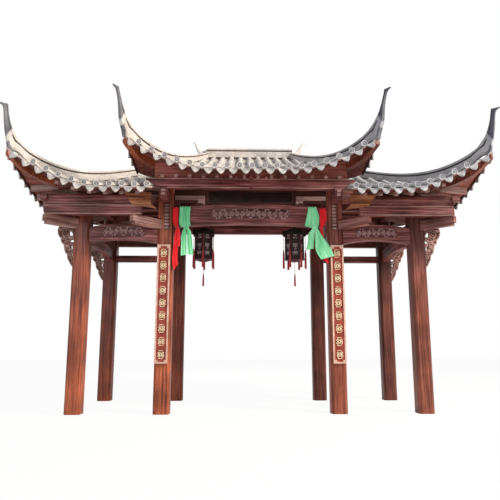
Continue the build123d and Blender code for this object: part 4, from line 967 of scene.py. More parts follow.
# %% Drip lips
LIP_HALF = 86
LIP_DROP = 126
LIP_THICK = 17
LIP_SUNK, LIP_SWELL, LIP_BEHIND, LIP_FORWARD = 8, 10, 5, 2
LIP_CLEAR = 30
lip_across = np.linspace(-1, 1, 11)
lip_down = np.linspace(0, 1, 8)
lip_half = LIP_HALF * np.concatenate([[1.0, 0.99], (1 - lip_down[2:] ** 1.7) ** 0.72])
lip_along = lip_half[:, None] * lip_across[None, :]
lip_dish = -PAN_DISH * (1 - lip_across[None, :] ** 2) * (1 - lip_down[:, None]) - LIP_SUNK
lip_up = lip_dish - LIP_DROP * lip_down[:, None]
lip_swell = LIP_SWELL * (1 - lip_across[None, :] ** 2) * lip_down[:, None] - LIP_BEHIND


def lip(roof, plan, a, foot_of):
    """Pointed lip: its half width shrinks down its height as (1 - v^1.7)^0.72, and its top is dished."""
    ends = [eave_line(roof, plan, a + side, float(foot_of(a + side))) for side in (-LIP_HALF, LIP_HALF)]
    along = ends[1] - ends[0]
    outward = np.array([along[1], -along[0], 0.0])
    outward = outward / np.linalg.norm(outward)
    origin = (ends[0] + ends[1]) / 2 + outward * LIP_FORWARD
    front = placed(lip_along, lip_up, lip_swell + LIP_THICK, origin, along, outward)
    back = placed(lip_along, lip_up, lip_swell, origin, along, outward)
    return np.concatenate([front, back[:, ::-1]], 1)


def lips_at(roof, plan, places, foot_of, corner):
    """Lips at the places that are clear of the corner."""
    return [lip(roof, plan, a, foot_of) for a in places if abs(a) + LIP_HALF < corner - LIP_CLEAR]


print("lip", 2 * LIP_HALF, "wide and", LIP_DROP, "deep")

# %% [markdown]
# ## Discs and lips along the eaves
# The discs stand where the rows end, and the lips half way between rows.

# %% Discs and lips along the eaves
between_rows = [(i + 0.5) * PITCH for i in range(-10, 10)]
outside_rows = [a + np.sign(a) * PITCH / 2 for a, _ in side_eaves]
beside_centre = [centre.side + k * PITCH for k in range(-1, 10)]
centre_discs = flipped([disc(centre, centre.front_plan, a, d) for a, d in centre_eaves], y=True)
centre_discs += flipped([disc(centre, centre.side_plan, a, d) for a, d in side_eaves], x=True)
centre_lips = flipped([lip(centre, centre.front_plan, a, centre.front_eave) for a in between_rows], y=True)
centre_lips += flipped(
    lips_at(centre, centre.side_plan, outside_rows, centre.side_eave, centre.corner_y), x=True)
right_discs = flipped([disc(wing, wing.front_plan, a, d) for a, d in wing_eaves], y=True)
right_discs += [disc(wing, wing.side_plan, a, d) for a, d in wing_side_eaves]
right_lips = flipped(lips_at(wing, wing.front_plan, beside_centre, wing.front_eave, wing.corner_x), y=True)
right_lips += lips_at(wing, wing.side_plan, between_rows, wing.side_eave, wing.corner_y)
for side, node, discs, lips in (("centre", "centre", centre_discs, centre_lips),
                                ("right", "right_wing", right_discs, right_lips),
                                ("left", "left_wing", left(right_discs), left(right_lips))):
    surface(f"{side}_discs", discs, disc_clay, "eave_tile", [f"{node}_eave_tiles"], **CLOSED, sharp=30,
            values={"reach": [disc_share] * len(discs)})
    surface(f"{side}_lips", lips, eave_tile, "eave_tile", [f"{node}_eave_tiles"], **CLOSED, sharp=35)

# %% [markdown]
# ## Hip ridges and horns
# A hip ridge is a low wall of plastered tile, with a dark joint under a rounded cap. At the corner it
# does not stop: its cap line turns up into a tall, slim horn. One profile is carried from the ridge
# to the tip, and at each place along it two points are given, the foot of the wall and its top. Two
# numbers are kept on every point for the finish: how far along it lies and how high on the wall.

# %% Section of a ridge wall
wall_half = np.array([-1.0, -1.0, -1.0, -0.84, -0.84, -1.1, -1.12, -0.98, -0.5])
wall_rise = np.array([0.0, 0.3, 0.64, 0.67, 0.75, 0.78, 0.9, 0.97, 1.0])
wall_half = np.concatenate([wall_half, -wall_half[::-1]])
wall_rise = np.concatenate([wall_rise, wall_rise[::-1]])


def wall(feet, tops, half, across):
    """Grid of the wall: foot + (top - foot) * rise + across * half width * profile."""
    line = feet[:, None] + (tops - feet)[:, None] * wall_rise[None, :, None]
    return line + (half[:, None] * wall_half[None, :])[..., None] * across


def smooth_path(points, count):
    """Points evenly spaced along a smooth curve through the given ones (Catmull-Rom pieces)."""
    points = np.asarray(points, float)
    wide = np.concatenate([[2 * points[0] - points[1]], points, [2 * points[-1] - points[-2]]])
    t = np.linspace(0, 1, 13)[:-1, None]
    pieces = []
    for before, here, there, after in zip(wide, wide[1:], wide[2:], wide[3:]):
        pieces.append(0.5 * (2 * here + (there - before) * t
                             + (2 * before - 5 * here + 4 * there - after) * t**2
                             + (3 * here - before - 3 * there + after) * t**3))
    line = np.concatenate(pieces + [points[-1:]])
    length = np.concatenate([[0], np.cumsum(np.linalg.norm(np.diff(line, axis=0), axis=1))])
    even = np.linspace(0, length[-1], count)
    return np.stack([np.interp(even, length, line[:, k]) for k in range(line.shape[1])], -1)


print("points round the wall", len(wall_rise))

# %% [markdown]
# ## One hip with its horn
# Up to the corner the wall stands on the roof surface and grows a little. From there its foot and
# its top follow two drawn curves, given as distance out from the corner and height over it. The
# width shrinks with the number along: 0 at the ridge, 1 where the curves begin and 2 at the tip.

# %% Hip ridges carried up into horns
WALL_SUNK = 12
WALL_ROWS, HORN_ROWS = 40, 46
horn_width = {1.25: 40, 1.7: 27, 2: 20}


def hip(roof, rise_low, rise_high, inner, outer):
    """Wall grid of one hip with its horn, and its along and rise numbers."""
    run = np.array([roof.side - roof.ridge, -roof.front, 0]) / roof.hip_length
    across = np.array([run[1], -run[0], 0.0])
    corner = (roof.hip_length * roof.corner_y / roof.front,
              float(roof.height(roof.corner_x, roof.corner_y)))
    last_s = corner[0] + inner[0][0]

    def level_at(s):
        """Height of the roof surface under the hip, s along it."""
        share = s / roof.hip_length
        return share, roof.height(roof.ridge + share * (roof.side - roof.ridge), share * roof.front)

    s_low = np.linspace(0.0, last_s, WALL_ROWS)[:-1]
    share, level = level_at(s_low)
    low = np.stack([s_low, level - WALL_SUNK], -1)
    high = np.stack([s_low, level + rise_low + rise_high * share], -1)
    share_last, level_last = level_at(last_s)
    crest_last = float(level_last) + rise_low + rise_high * share_last - corner[1]
    foot_last = float(level_last) - WALL_SUNK - corner[1]
    inner_line = smooth_path([(inner[0][0], crest_last), *inner[1:]], HORN_ROWS) + corner
    outer_line = smooth_path([(inner[0][0], foot_last), *outer], HORN_ROWS) + corner
    feet = np.concatenate([low, outer_line])
    tops = np.concatenate([high, inner_line])
    along = np.concatenate([np.linspace(0, 1, WALL_ROWS)[:-1], np.linspace(1, 2, HORN_ROWS)])
    width = np.interp(along, [0, 0.9, *horn_width], [HIP_HALF, HIP_HALF, *horn_width.values()])
    start = np.array([roof.ridge, 0.0, 0.0])
    feet = start + feet[:, :1] * run + feet[:, 1:] * (0, 0, 1)
    tops = start + tops[:, :1] * run + tops[:, 1:] * (0, 0, 1)
    grid = wall(feet, tops, width, across)
    return grid, np.repeat(along[:, None], grid.shape[1], 1), np.repeat(wall_rise[None, :], len(grid), 0)


centre_inner = [(-312, 111), (-188, 179), (-54, 289), (60, 420), (134, 570), (184, 700), (204, 786)]
centre_outer = [(-150, -50), (0, -52), (36, 40), (86, 134), (130, 252), (160, 450), (194, 600), (230, 700),
                (262, 748), (338, 776)]
wing_inner = [(-374, 31), (-254, 102), (-179, 191), (-103, 285), (-50, 400), (-8, 540), (14, 660),
              (28, 762)]
wing_outer = [(-200, -60), (-60, -62), (-16, 34), (6, 140), (36, 271), (66, 450), (82, 600), (96, 680),
              (122, 728), (186, 752)]
hips = {
    "centre": hip(centre, rise_low=118, rise_high=122, inner=centre_inner, outer=centre_outer),
    "wing": hip(wing, rise_low=134, rise_high=105, inner=wing_inner, outer=wing_outer),
}
print("horn tips at", *(int(grid[..., 2].max()) for grid, _, _ in hips.values()))

# %% [markdown]
# ## Plaster, joint and clay
# The wall is limed, with a dark joint under its cap. The tiled back of the horn and its upper part
# are bare grey clay, with one pale band round it. The two numbers kept on the points say where each
# begins, so no part of the wall needs a material of its own.

# %% Finish of the hips and their pieces
def hip_finish():
    """Plaster on the wall, a dark joint under the cap, and grey tile on the upper horn and its back,
    with painted light: warm on the left of the gateway and blue-grey on the right as painted shade.
    """
    finish = Finish("hip_plaster", 0.75, specular=0.3)
    black, full = (0, 0, 0), (1, 1, 1)
    along, rise = finish.kept("along"), finish.kept("rise")
    stain = finish.noise(finish.coords, 2.6, 5, 0.6).outputs["Fac"]
    grit = finish.noise(finish.coords, 34.0, 4, 0.65).outputs["Fac"]
    lime = finish.ramp(stain, [(0.32, (0.4, 0.37, 0.35)), (0.5, (0.6, 0.56, 0.52)),
                               (0.68, (0.74, 0.7, 0.65))])
    clay = finish.ramp(stain, [(0.35, (0.11, 0.11, 0.125)), (0.65, (0.23, 0.228, 0.25))])
    base = finish.mixed(lime, clay, finish.spread(along, 1.42, 1.5))
    back = finish.ramp(rise, [(0.0, full), (0.16, full), (0.24, black), (1.0, black)])
    on_horn = finish.spread(along, 1.2, 1.3)
    base = finish.mixed(base, clay, finish.as_share(finish.mixed(black, back, on_horn)))
    joint = finish.ramp(rise, [(0.62, black), (0.66, full), (0.75, full), (0.79, black)])
    base = finish.mixed(base, (0.06, 0.055, 0.06), finish.as_share(joint))
    band = finish.ramp(finish.spread(along, 0.0, 2.0),
                       [(0.705, black), (0.715, full), (0.745, full), (0.76, black)])
    base = finish.mixed(base, (0.58, 0.56, 0.55), finish.as_share(band))
    base = finish.times(base, finish.ramp(grit, [(0.3, (0.72, 0.71, 0.7)), (0.6, (1.05, 1.04, 1.03))]))
    # painted light and shade: warm on the left of the gateway, blue-grey and darker on the right
    finish.colour(finish.across_front(base, (1.04, 1.0, 0.96), (0.6, 0.62, 0.69), low=-0.6, high=2.0))
    finish.bump(grit, 0.45, 0.006)
    return finish.material


hip_plaster = hip_finish()
for side, (grid, along, rise) in hips.items():
    copies = flipped([grid], x=True, y=True)
    surface(f"{side}_hips", copies, hip_plaster, "ridge_plaster", [f"{side}_hip_ridges", f"{side}_horns"],
            **CLOSED, sharp=35, values={"along": [along] * len(copies), "rise": [rise] * len(copies)})

# %% [markdown]
# ## Main ridges and their curls
# The main ridges have the same wall, carried straight. At each end of the upper one a curl of
# plaster stands up: a tapering bar swept along a curve that rises and turns over at its tip.

# %% Main ridges and curls
RIDGE_HALF = 74
RIDGE_ALONG = 0.5


def straight_wall(x_low, x_high, z_low, z_high):
    """The wall carried straight along the front, with the same number along all over."""
    x = np.linspace(x_low, x_high, 12)
    feet = np.stack([x, 0 * x, 0 * x + z_low], -1)
    tops = np.stack([x, 0 * x, 0 * x + z_high], -1)
    grid = wall(feet, tops, 0 * x + RIDGE_HALF, np.array([0.0, 1.0, 0.0]))
    return grid, np.full(grid.shape[:2], RIDGE_ALONG), np.repeat(wall_rise[None, :], len(x), 0)


def flat_bar(path, high, thick):
    """A bar along a curve in the XZ plane: an oval of the given half height and half thickness."""
    angle = np.linspace(0, 2 * np.pi, 13)[:-1]
    step = np.gradient(path, axis=0)
    step = step / np.linalg.norm(step, axis=1)[:, None]
    normal = np.stack([-step[:, 1], step[:, 0]], -1)
    side = path[:, None] + normal[:, None] * (high[:, None] * np.cos(angle)[None, :])[..., None]
    y = thick[:, None] * np.sin(angle)[None, :]
    return np.stack([side[..., 0], y, side[..., 1]], -1)


upper_wall, lower_wall = (5225, 5428), (4905, 5068)
upper_end, lower_end = 934, wing.ridge + 44
ridge_parts = [straight_wall(-upper_end, upper_end, *upper_wall),
               straight_wall(valley_tip, lower_end, *lower_wall),
               straight_wall(-lower_end, -valley_tip, *lower_wall)]
walls, alongs, rises = zip(*ridge_parts)
surface("main_ridges", walls, hip_plaster, "ridge_plaster", ["centre_main_ridge", "wing_main_ridges"],
        **CLOSED, sharp=35, values={"along": alongs, "rise": rises})
curl_path = smooth_path([(905, 5330), (1000, 5330), (1078, 5372), (1128, 5450), (1160, 5525), (1200, 5578),
                         (1222, 5572)], 34)
share = np.linspace(0, 1, len(curl_path))
curl = flat_bar(curl_path, np.interp(share, [0, 0.3, 0.7, 1], [84, 60, 34, 12]),
                np.interp(share, [0, 1], [26, 20]))
foot_path = smooth_path([(925, 5275), (1040, 5215), (1180, 5120)], 12)
curl_foot = flat_bar(foot_path, np.full(len(foot_path), 44.0), np.full(len(foot_path), 26.0))
surface("ridge_curls", flipped([curl, curl_foot], x=True), plaster, "ridge_plaster", ["centre_main_ridge"],
        **CLOSED, sharp=50)

# %% [markdown]
# ## Corner rafters
# A heavy rafter runs under each hip from the crossing of the eave beams to the horn. It follows the
# roof formula, a little below it, so it is a box section carried along the hip.

# %% Corner rafters
def hung_strip(roof, places, half, over, under, across):
    """Box section carried along plan places, hung from the roof surface at the middle of the strip."""
    level = roof.height(places[:, 0], places[:, 1])
    middle = np.concatenate([places, level[:, None]], 1)
    corners = np.array([(-half, -over), (half, -over), (half, -under), (-half, -under)])
    return (middle[:, None] + corners[None, :, :1] * np.asarray(across)[..., None, :]
            + corners[None, :, 1:] * np.array([0, 0, 1.0]))


def corner_rafter(roof, s_low, s_high):
    """Rafter under the hip, from s_low to s_high along it, cut back from below at its outer end."""
    s_line = np.linspace(s_low, s_high, 16)
    run = np.array([roof.side - roof.ridge, -roof.front]) / roof.hip_length
    places = np.array([roof.ridge, 0.0]) + s_line[:, None] * run
    across = np.array([run[1], -run[0], 0.0])
    grid = hung_strip(roof, places, half=58, over=60, under=200, across=across)
    taper = np.interp(s_line, [s_low, s_high - 300, s_high], [0, 0, 70])
    grid[:, 2:, 2] += taper[:, None]
    return grid


rafters = flipped([corner_rafter(centre, 1750, 2600), corner_rafter(wing, 2150, 3150)], x=True, y=True)
surface("corner_rafters", rafters, post_wood, "beam_timber", **CLOSED, sharp=30)

# %% [markdown]
# ## Eave boards
# A thin board closes the eave between the boards and the tiles. It follows the eave line, just
# behind the lips, and stops short of each corner.

# %% Eave boards
BEHIND_LIPS = 30
SHORT_OF_CORNER = 40


def eave_board(roof, plan, foot_of, low, high):
    """A board 26 thick and 50 high that follows the eave, just behind the lips."""
    a = np.linspace(low, high, 60)
    x, y = plan(a, foot_of(a) - BEHIND_LIPS)
    step = np.gradient(np.stack([x, y], -1), axis=0)
    step = step / np.linalg.norm(step, axis=1)[:, None]
    across = np.stack([-step[:, 1], step[:, 0], 0 * a], -1)
    return hung_strip(roof, np.stack([x, y], -1), half=13, over=50, under=100, across=across)


centre_x, centre_y, wing_x, wing_y = (
    reach - SHORT_OF_CORNER for reach in (centre.corner_x, centre.corner_y, wing.corner_x, wing.corner_y))
eaves = flipped([eave_board(wing, wing.front_plan, wing.front_eave, 1790, wing_x)], x=True, y=True)
eaves += flipped([eave_board(wing, wing.side_plan, wing.side_eave, -wing_y, wing_y)], x=True)
eaves += flipped([eave_board(centre, centre.front_plan, centre.front_eave, -centre_x, centre_x)], y=True)
side_length = centre.corner_y - 60 - valley_front
for low in (-centre_y, valley_front + 20):
    side_board = eave_board(centre, centre.side_plan, centre.side_eave, low, low + side_length)
    eaves += flipped([side_board], x=True)
# the board takes the near-black shaded timber: painted shade between the lips
surface("eave_boards", eaves, dark_wood, "beam_timber", **CLOSED, sharp=30)

# %% [markdown]
# ## Carving drawn with scrolls
# All the carving is built from one thing, a scroll: a line that winds in on itself. A panel in
# relief is a grid whose height rises wherever a scroll passes, and an openwork bracket is made of
# bars that follow the scrolls. The design is an ordinary vine, the same on both sides.

# %% Scrolls
def scroll(x, z, radius, turns, start, squeeze=1.0, count=60):
    """Points round a centre whose distance shrinks from the radius to a tenth of it."""
    share = np.linspace(0, 1, count)
    angle = start + turns * 2 * np.pi * share
    reach = radius * (1 - 0.88 * share)
    return np.stack([x + reach * np.cos(angle), z + squeeze * reach * np.sin(angle)], -1)


def vine(half_length, half_height, lobes):
    """A waving stem with a scroll in each bend and a leaf tip outside it, from the middle outwards."""
    s_line = np.linspace(0, half_length, 160)
    wave = 0.42 * half_height * np.sin(np.pi * lobes * s_line / half_length)
    lines = [np.stack([s_line, wave], -1)]
    for i in range(lobes):
        middle = (i + 0.5) * half_length / lobes
        side = 1 if i % 2 == 0 else -1
        reach = 0.36 * half_length / lobes
        lines.append(scroll(middle, -side * 0.2 * half_height, reach, side * 1.6, side * 1.3, 0.95))
        tip = side * 0.74 * half_height
        lines.append(scroll(middle + 0.42 * reach, tip, 0.42 * reach, -side * 1.2, 0.4))
        lines.append(scroll(middle - 0.9 * reach, -tip, 0.34 * reach, side * 1.2, 2.5))
    half = np.concatenate(lines)
    return np.concatenate([half, half * (-1, 1)])


print("points of a vine with four scrolls a side", len(vine(1, 1, 4)))

# %% [markdown]
# ## Relief
# A picture could be used as a height map, but its shapes would not be in the mesh. So the panel is a
# fine grid, and each point looks up how far it lies from the nearest line of the vine. Near a line it
# stands proud, and the rest is ground. The back of the panel is flat, so it needs far fewer points.

# %% A panel in relief
CELL = 4
LINE_HALF = 8.5
BACK_STEP = 20
BACK_SUNK = 2


def nearest(points, lines):
    """Distance from each point to the nearest point of the lines, a block of points at a time."""
    flat = points.reshape(-1, 2)
    found = [np.sqrt(((part[:, None] - lines[None]) ** 2).sum(-1).min(1))
             for part in np.array_split(flat, max(len(flat) // 1500, 1))]
    return np.concatenate(found).reshape(points.shape[:-1])


def relief_panel(x_low, x_high, middle_of, half_height, face_y, depth, lobes, ground=4):
    """Panel on a beam's face: ground plus depth where a scroll passes, fading out at the rim. The
    panel is lower at its ends, and its edge is a raised border."""
    columns = int((x_high - x_low) / CELL)
    x = np.linspace(x_low, x_high, columns)
    t = np.linspace(-1, 1, int(2 * half_height / CELL))
    centre_x = (x_low + x_high) / 2
    half_length = (x_high - x_low) / 2
    from_end = (half_length - np.abs(x - centre_x)) / (0.9 * half_height)
    rim = half_height * (0.62 + 0.38 * np.clip(from_end, 0, 1))
    across = t[:, None] * rim[None, :]
    place = np.stack([np.broadcast_to(x - centre_x, across.shape), across], -1)
    near = nearest(place, vine(half_length * 0.97, half_height, lobes))
    swell = np.clip(1 - near / LINE_HALF, 0, 1)
    edge = np.clip((1 - np.abs(t)) * 12, 0, 1)[:, None]
    border = np.clip(1 - np.abs(np.abs(t) - 0.93) * 16, 0, 1)[:, None]
    height = ground + depth * np.maximum(swell * (2 - swell) * edge, border * 0.8)
    y = face_y - height
    z = middle_of(x)[None, :] + across
    grid = np.stack([np.broadcast_to(x, z.shape), y, z], -1)
    behind = np.append(np.arange(0, columns - 1, BACK_STEP), columns - 1)[::-1]
    back = grid[:, behind]
    back[..., 1] = face_y + BACK_SUNK
    raised = (height - ground) / depth
    return np.concatenate([grid, back], 1), np.concatenate([raised, 0 * raised[:, behind]], 1)


print("a panel has a point every", CELL, "mm")

# %% [markdown]
# ## Carving on the front beams
# The beams of the three bays are arched, so the middle line of a panel is half way between the arch
# of its underside and the arch of its top. The height of the carving is kept on the points, and the
# finish paints the ridges pale as painted highlight and the ground dark as painted shade.

# %% Carving on the front beams
def carved_finish():
    """Ground darkened as painted shade, with the ridges of the carving painted pale as highlight."""
    finish = Finish("carved_panel", 0.45, specular=0.3)
    grain = finish.noise(finish.stretched((1.6, 24.0, 24.0)), 1.0, 6, 0.6).outputs["Fac"]
    ground = finish.ramp(grain, [(0.3, (0.05, 0.014, 0.016)), (0.7, (0.15, 0.05, 0.052))])
    ridge = finish.ramp(grain, [(0.3, (0.26, 0.13, 0.13)), (0.7, (0.5, 0.32, 0.31))])
    # painted shade in the sunk ground and painted highlight on the raised ridges
    finish.colour(finish.mixed(ground, ridge, finish.spread(finish.kept("raised"), 0.25, 0.85)))
    finish.bump(grain, 0.3, 0.003)
    return finish.material


def arch_of(half, rise):
    """Height over its ends of a circle's arc that spans twice the half and rises in the middle."""
    radius = (half**2 + rise**2) / (2 * rise)
    return lambda offset: rise - radius + np.sqrt(radius**2 - offset**2)


def half_way(half, under_z, under_rise, top_z, top_rise):
    """Height half way between two arches, each given by the height of its ends and its rise."""
    hollow, crown = arch_of(half, under_rise), arch_of(half, top_rise)
    return lambda offset: (under_z + hollow(offset) + top_z + crown(offset)) / 2


BEAM_FACE = -1255
WING_BAY = 2385
moon_middle = half_way(half=1455, under_z=3411, under_rise=70, top_z=3766, top_rise=98)
wing_middle = half_way(half=640, under_z=3100, under_rise=72, top_z=3398, top_rise=66)
panels = [relief_panel(-760, 760, moon_middle, 104, BEAM_FACE, 12, 7)]
for low, high in ((-2780, -1990), (1990, 2780)):
    panels.append(relief_panel(low, high, lambda x: wing_middle(np.abs(x) - WING_BAY), 96, BEAM_FACE, 9, 4))
grids, raised = zip(*panels)
surface("beam_carving", grids, carved_finish(), "carved_timber", ["moon_beam_relief"], **CLOSED, sharp=60,
        values={"raised": raised})

# %% [markdown]
# ## Small timbers
# Rafter ends show under the front eave, and the middle posts carry toothed strips on a plain ground.
# All are short boxes with their long edges taken off. A box needs only two sections, so one outline
# is set at two depths, and the mirror images give the other corners of the gateway.

# %% Small timbers
def board(outline, depths):
    """Flat board cut to an outline of (x, z) corners, between two depths."""
    outline = np.asarray(outline, float)
    deep = np.ones(len(outline))
    return np.stack([np.stack([outline[:, 0], deep * y, outline[:, 1]], -1) for y in depths])


def block(x, depths, z, chamfer):
    """Box between (low, high) pairs with its long edges taken off."""
    (x0, x1), (z0, z1), c = x, z, chamfer
    return board([(x0 + c, z0), (x1 - c, z0), (x1, z0 + c), (x1, z1 - c), (x1 - c, z1), (x0 + c, z1),
                  (x0, z1 - c), (x0, z0 + c)], depths)


def four_ways(name, grids, finish, slot, sharp=30, y=True, replaced=()):
    """A closed piece with its mirror images on the left, and at the back unless y is off."""
    return surface(name, flipped(grids, x=True, y=y), finish, slot, replaced, **CLOSED, sharp=sharp)


RAFTER_HALF, RAFTER_PITCH = 30, 250
TOOTH_HIGH, TOOTH_PITCH = 42, 62
rafter_ends = [block((x - RAFTER_HALF, x + RAFTER_HALF), (-1738, -1656), (4237, 4288), 7)
               for x in np.arange(125, 1700, RAFTER_PITCH)]
teeth = [block((1549, 1623), (-1288, -1268), (z, z + TOOTH_HIGH), 5)
         for z in np.arange(3368, 3850, TOOTH_PITCH)]
teeth += [block((1566, 1634), (-1746, -1728), (z, z + TOOTH_HIGH), 5) for z in (3900, 3966)]
teeth_ground = [block((1541, 1631), (-1275, -1266), (3352, 3864), 2)]
four_ways("rafter_ends", rafter_ends, pale_wood, "soffit_timber")
four_ways("post_teeth", teeth, pale_wood, "carved_timber")
# the ground takes the near-black shaded timber: painted shade in the gaps between the teeth
four_ways("teeth_ground", teeth_ground, dark_wood, "carved_timber")

# %% [markdown]
# ## Trim beside the name board
# The boards beside the plaque have a carved lower edge: a strip with a thin ledge, a nose under its
# inner end, and three scrolls laid on them there.

# %% Board trim
trim_depth = -1246
nose_outline = [(868, 3852), (905, 3852), (925, 3880), (960, 3890), (1003, 3886), (1003, 3934),
                (868, 3934)]
trim = [block((870, 1440), (-1252, -1226), (3936, 4018), 6),
        block((870, 1440), (-1258, -1250), (3936, 3950), 3),
        board(nose_outline, (trim_depth, -1226))]
for place, count, high, thick in (((905, 3975, 34, 1.6, 0.4), 40, 9.0, 14.0),
                                  ((985, 3976, 30, -1.5, 2.4), 40, 8.0, 14.0),
                                  ((925, 3912, 20, 1.4, 1.4), 30, 7.0, 12.0)):
    curve = scroll(*place, count=count)
    trim.append(flat_bar(curve, np.full(count, high), np.full(count, thick)) + (0, trim_depth, 0))
four_ways("board_trim", trim, pale_wood, "carved_timber", y=False)

# %% [markdown]
# ## Beads, valley boards and log ends
# Thin beads run along the beams, flat boards close the ends of the valleys, and the purlins of the
# side bays end as round logs whose rims are a little rounded. A log end is turned, so it is rings
# of a circle at growing depth.

# %% Beads, valley boards and log ends
WING_BEAD, CENTRE_BEAD = 15, 13
beads = [block((2000, 3716), (-1699, -1680), (z, z + WING_BEAD), 4) for z in (3545, 3703)]
beads += [block((30, 1918), (-1668, -1652), (z, z + CENTRE_BEAD), 4) for z in (4053, 4218)]
four_ways("edge_beads", beads, pale_wood, "beam_timber")
valley_board = board([(1712, 3642), (2150, 3712), (2300, 3925), (1812, 3945), (1812, 3735)], (-1722, -1698))
four_ways("valley_boards", [valley_board], orange_wood, "beam_timber")
log_x, log_z = 3745, 3850
log_rings = ((40.0, -1560.0), (68.0, -1560.0), (70.0, -1740.0), (64.0, -1746.0), (20.0, -1746.0))
log_circle = np.linspace(0, 2 * np.pi, 25)[:-1]
across, up = np.cos(log_circle), np.sin(log_circle)
log = np.stack([np.stack([log_x + r * across, 0 * across + y, log_z + r * up], -1) for r, y in log_rings])
four_ways("log_ends", [log], beam_wood_x, "beam_timber")

# %% [markdown]
# ## Openwork brackets
# Below the diagonal arms, boards pierced with scrolls brace the outer posts. Each is a set of bars
# that follow scrolls inside a tapering outline, smaller towards the foot.

# %% Bracket bars
POST_FACE, BRACKET_FOOT = 3315, 2672
BRACKET_REACH, BRACKET_HEIGHT = 340, 780
BRACKET_DEPTH = -1125
RIM_THICK, SCROLL_THICK, STEM_THICK = 26, 21, 18
WEB_HALF = 4


def bar(points, high_start, high_end, thick):
    """A bar of the bracket along a line of points, whose height changes evenly to its end."""
    count = len(points)
    grid = flat_bar(points, np.linspace(high_start, high_end, count), np.full(count, thick))
    return grid + (0, BRACKET_DEPTH, 0)


def spot(x, z):
    """A place given as shares of the bracket's reach and height."""
    return POST_FACE + x * BRACKET_REACH, BRACKET_FOOT + z * BRACKET_HEIGHT


def through(places, count):
    """A smooth line through places given as shares."""
    return smooth_path([spot(*place) for place in places], count)


rim = through([(0.02, 0.0), (0.12, 0.03), (0.27, 0.14), (0.34, 0.2), (0.37, 0.29), (0.5, 0.36),
               (0.55, 0.44), (0.6, 0.54), (0.74, 0.6), (0.76, 0.68), (0.9, 0.76), (0.96, 0.86),
               (0.93, 0.94), (0.84, 0.985)], 80)
bars = [bar(rim, 19, 19, RIM_THICK),
        bar(through([(0.035, 0.02), (0.035, 0.5), (0.035, 0.985)], 12), 15, 15, RIM_THICK),
        bar(through([(0.0, 0.97), (0.45, 0.975), (0.86, 0.975)], 10), 20, 20, RIM_THICK)]
bracket_scrolls = [
    (0.58, 0.82, 96, 1.9, 0.5), (0.44, 0.56, 62, -1.9, 2.2), (0.26, 0.37, 46, 1.8, 0.2),
    (0.16, 0.215, 30, -1.6, 2.0), (0.2, 0.7, 50, -1.7, 0.9), (0.22, 0.91, 42, 1.6, 3.6),
    (0.82, 0.9, 26, -1.4, 1.0), (0.16, 0.55, 34, 1.5, 4.2), (0.1, 0.1, 20, 1.3, 1.0),
    (0.46, 0.94, 30, -1.4, 0.4), (0.66, 0.68, 34, 1.5, 1.2), (0.08, 0.82, 30, 1.3, 2.6),
    (0.3, 0.27, 26, -1.4, 0.8), (0.1, 0.33, 28, 1.4, 3.0), (0.42, 0.46, 28, 1.3, 5.0)]
for x, z, radius, turns, start in bracket_scrolls:
    bars.append(bar(scroll(*spot(x, z), radius, turns, start, count=38), 17, 8, SCROLL_THICK))
for stem in (((0.05, 0.05), (0.2, 0.3), (0.1, 0.45), (0.3, 0.62)),
             ((0.3, 0.62), (0.12, 0.76), (0.34, 0.95)),
             ((0.36, 0.3), (0.3, 0.46), (0.55, 0.6), (0.36, 0.74))):
    bars.append(bar(through(stem, 40), 15, 10, STEM_THICK))
four_ways("bracket_scrolls", bars, pale_wood, "carved_timber", sharp=50, replaced=["scroll_brackets"])

# %% [markdown]
# ## Webs of the brackets
# Half way through the thickness of the bars lies a thin sheet, from the rim to a third of the way
# from the post. It holds the bars together, and the bracket is still open near the post.

# %% Bracket webs
web_shares = np.linspace(0.34, 1, 5)[None, :, None]
post_line = np.stack([np.full(len(rim), POST_FACE), rim[:, 1]], -1)
plan = post_line[:, None] + (rim - post_line)[:, None] * web_shares
web = np.stack([plan[..., 0], np.full(plan.shape[:2], BRACKET_DEPTH - WEB_HALF, float), plan[..., 1]], -1)
web = np.concatenate([web, web[:, ::-1] + (0, 2 * WEB_HALF, 0)], 1)
# the sheet takes the near-black shaded timber: painted shade behind the bars
four_ways("bracket_webs", [web], dark_wood, "carved_timber", sharp=50, replaced=["scroll_brackets"])

# %% [markdown]
# ## Gilded ornament on the couplet boards
# Nine gilded motifs run up each long board. All are the same: a knot of four curls round a lozenge,
# between two strokes, made of flat bars that taper to their ends.

# %% Gilded motifs
BOARD_X, BOARD_FACE = 1617, -1300
BOARD_FOOT, BOARD_HEAD, FIRST_MOTIF = 887, 3060, 158
MOTIF_SIZE, MOTIF_THICK, MOTIF_OFF = 104, 7.0, 4


def motif(x, z):
    """Four mirrored curls, a lozenge and two short strokes, all as bars standing off the board."""
    curl_line = scroll(0.3, 0.28, 0.26, 1.25, -2.4, 1.0, 22)
    strokes = [curl_line, curl_line * (-1, 1), curl_line * (1, -1), curl_line * (-1, -1)]
    lozenge = np.array([(0, 0.34), (0.2, 0), (0, -0.34), (-0.2, 0), (0, 0.34)])
    round_it = np.linspace(0, 4, 21)
    strokes.append(np.stack([np.interp(round_it, range(5), lozenge[:, k]) for k in (0, 1)], -1))
    for side in (-1, 1):
        strokes.append(np.stack([np.linspace(-0.42, 0.42, 12), np.full(12, side * 0.66)], -1))
    bars = []
    for stroke in strokes:
        count = len(stroke)
        high = np.interp(np.linspace(0, 1, count), [0, 0.5, 1], [0.062, 0.05, 0.03]) * MOTIF_SIZE
        grid = flat_bar(stroke * MOTIF_SIZE + (x, z), high, np.full(count, MOTIF_THICK))
        bars.append(grid + (0, BOARD_FACE - MOTIF_OFF, 0))
    return bars


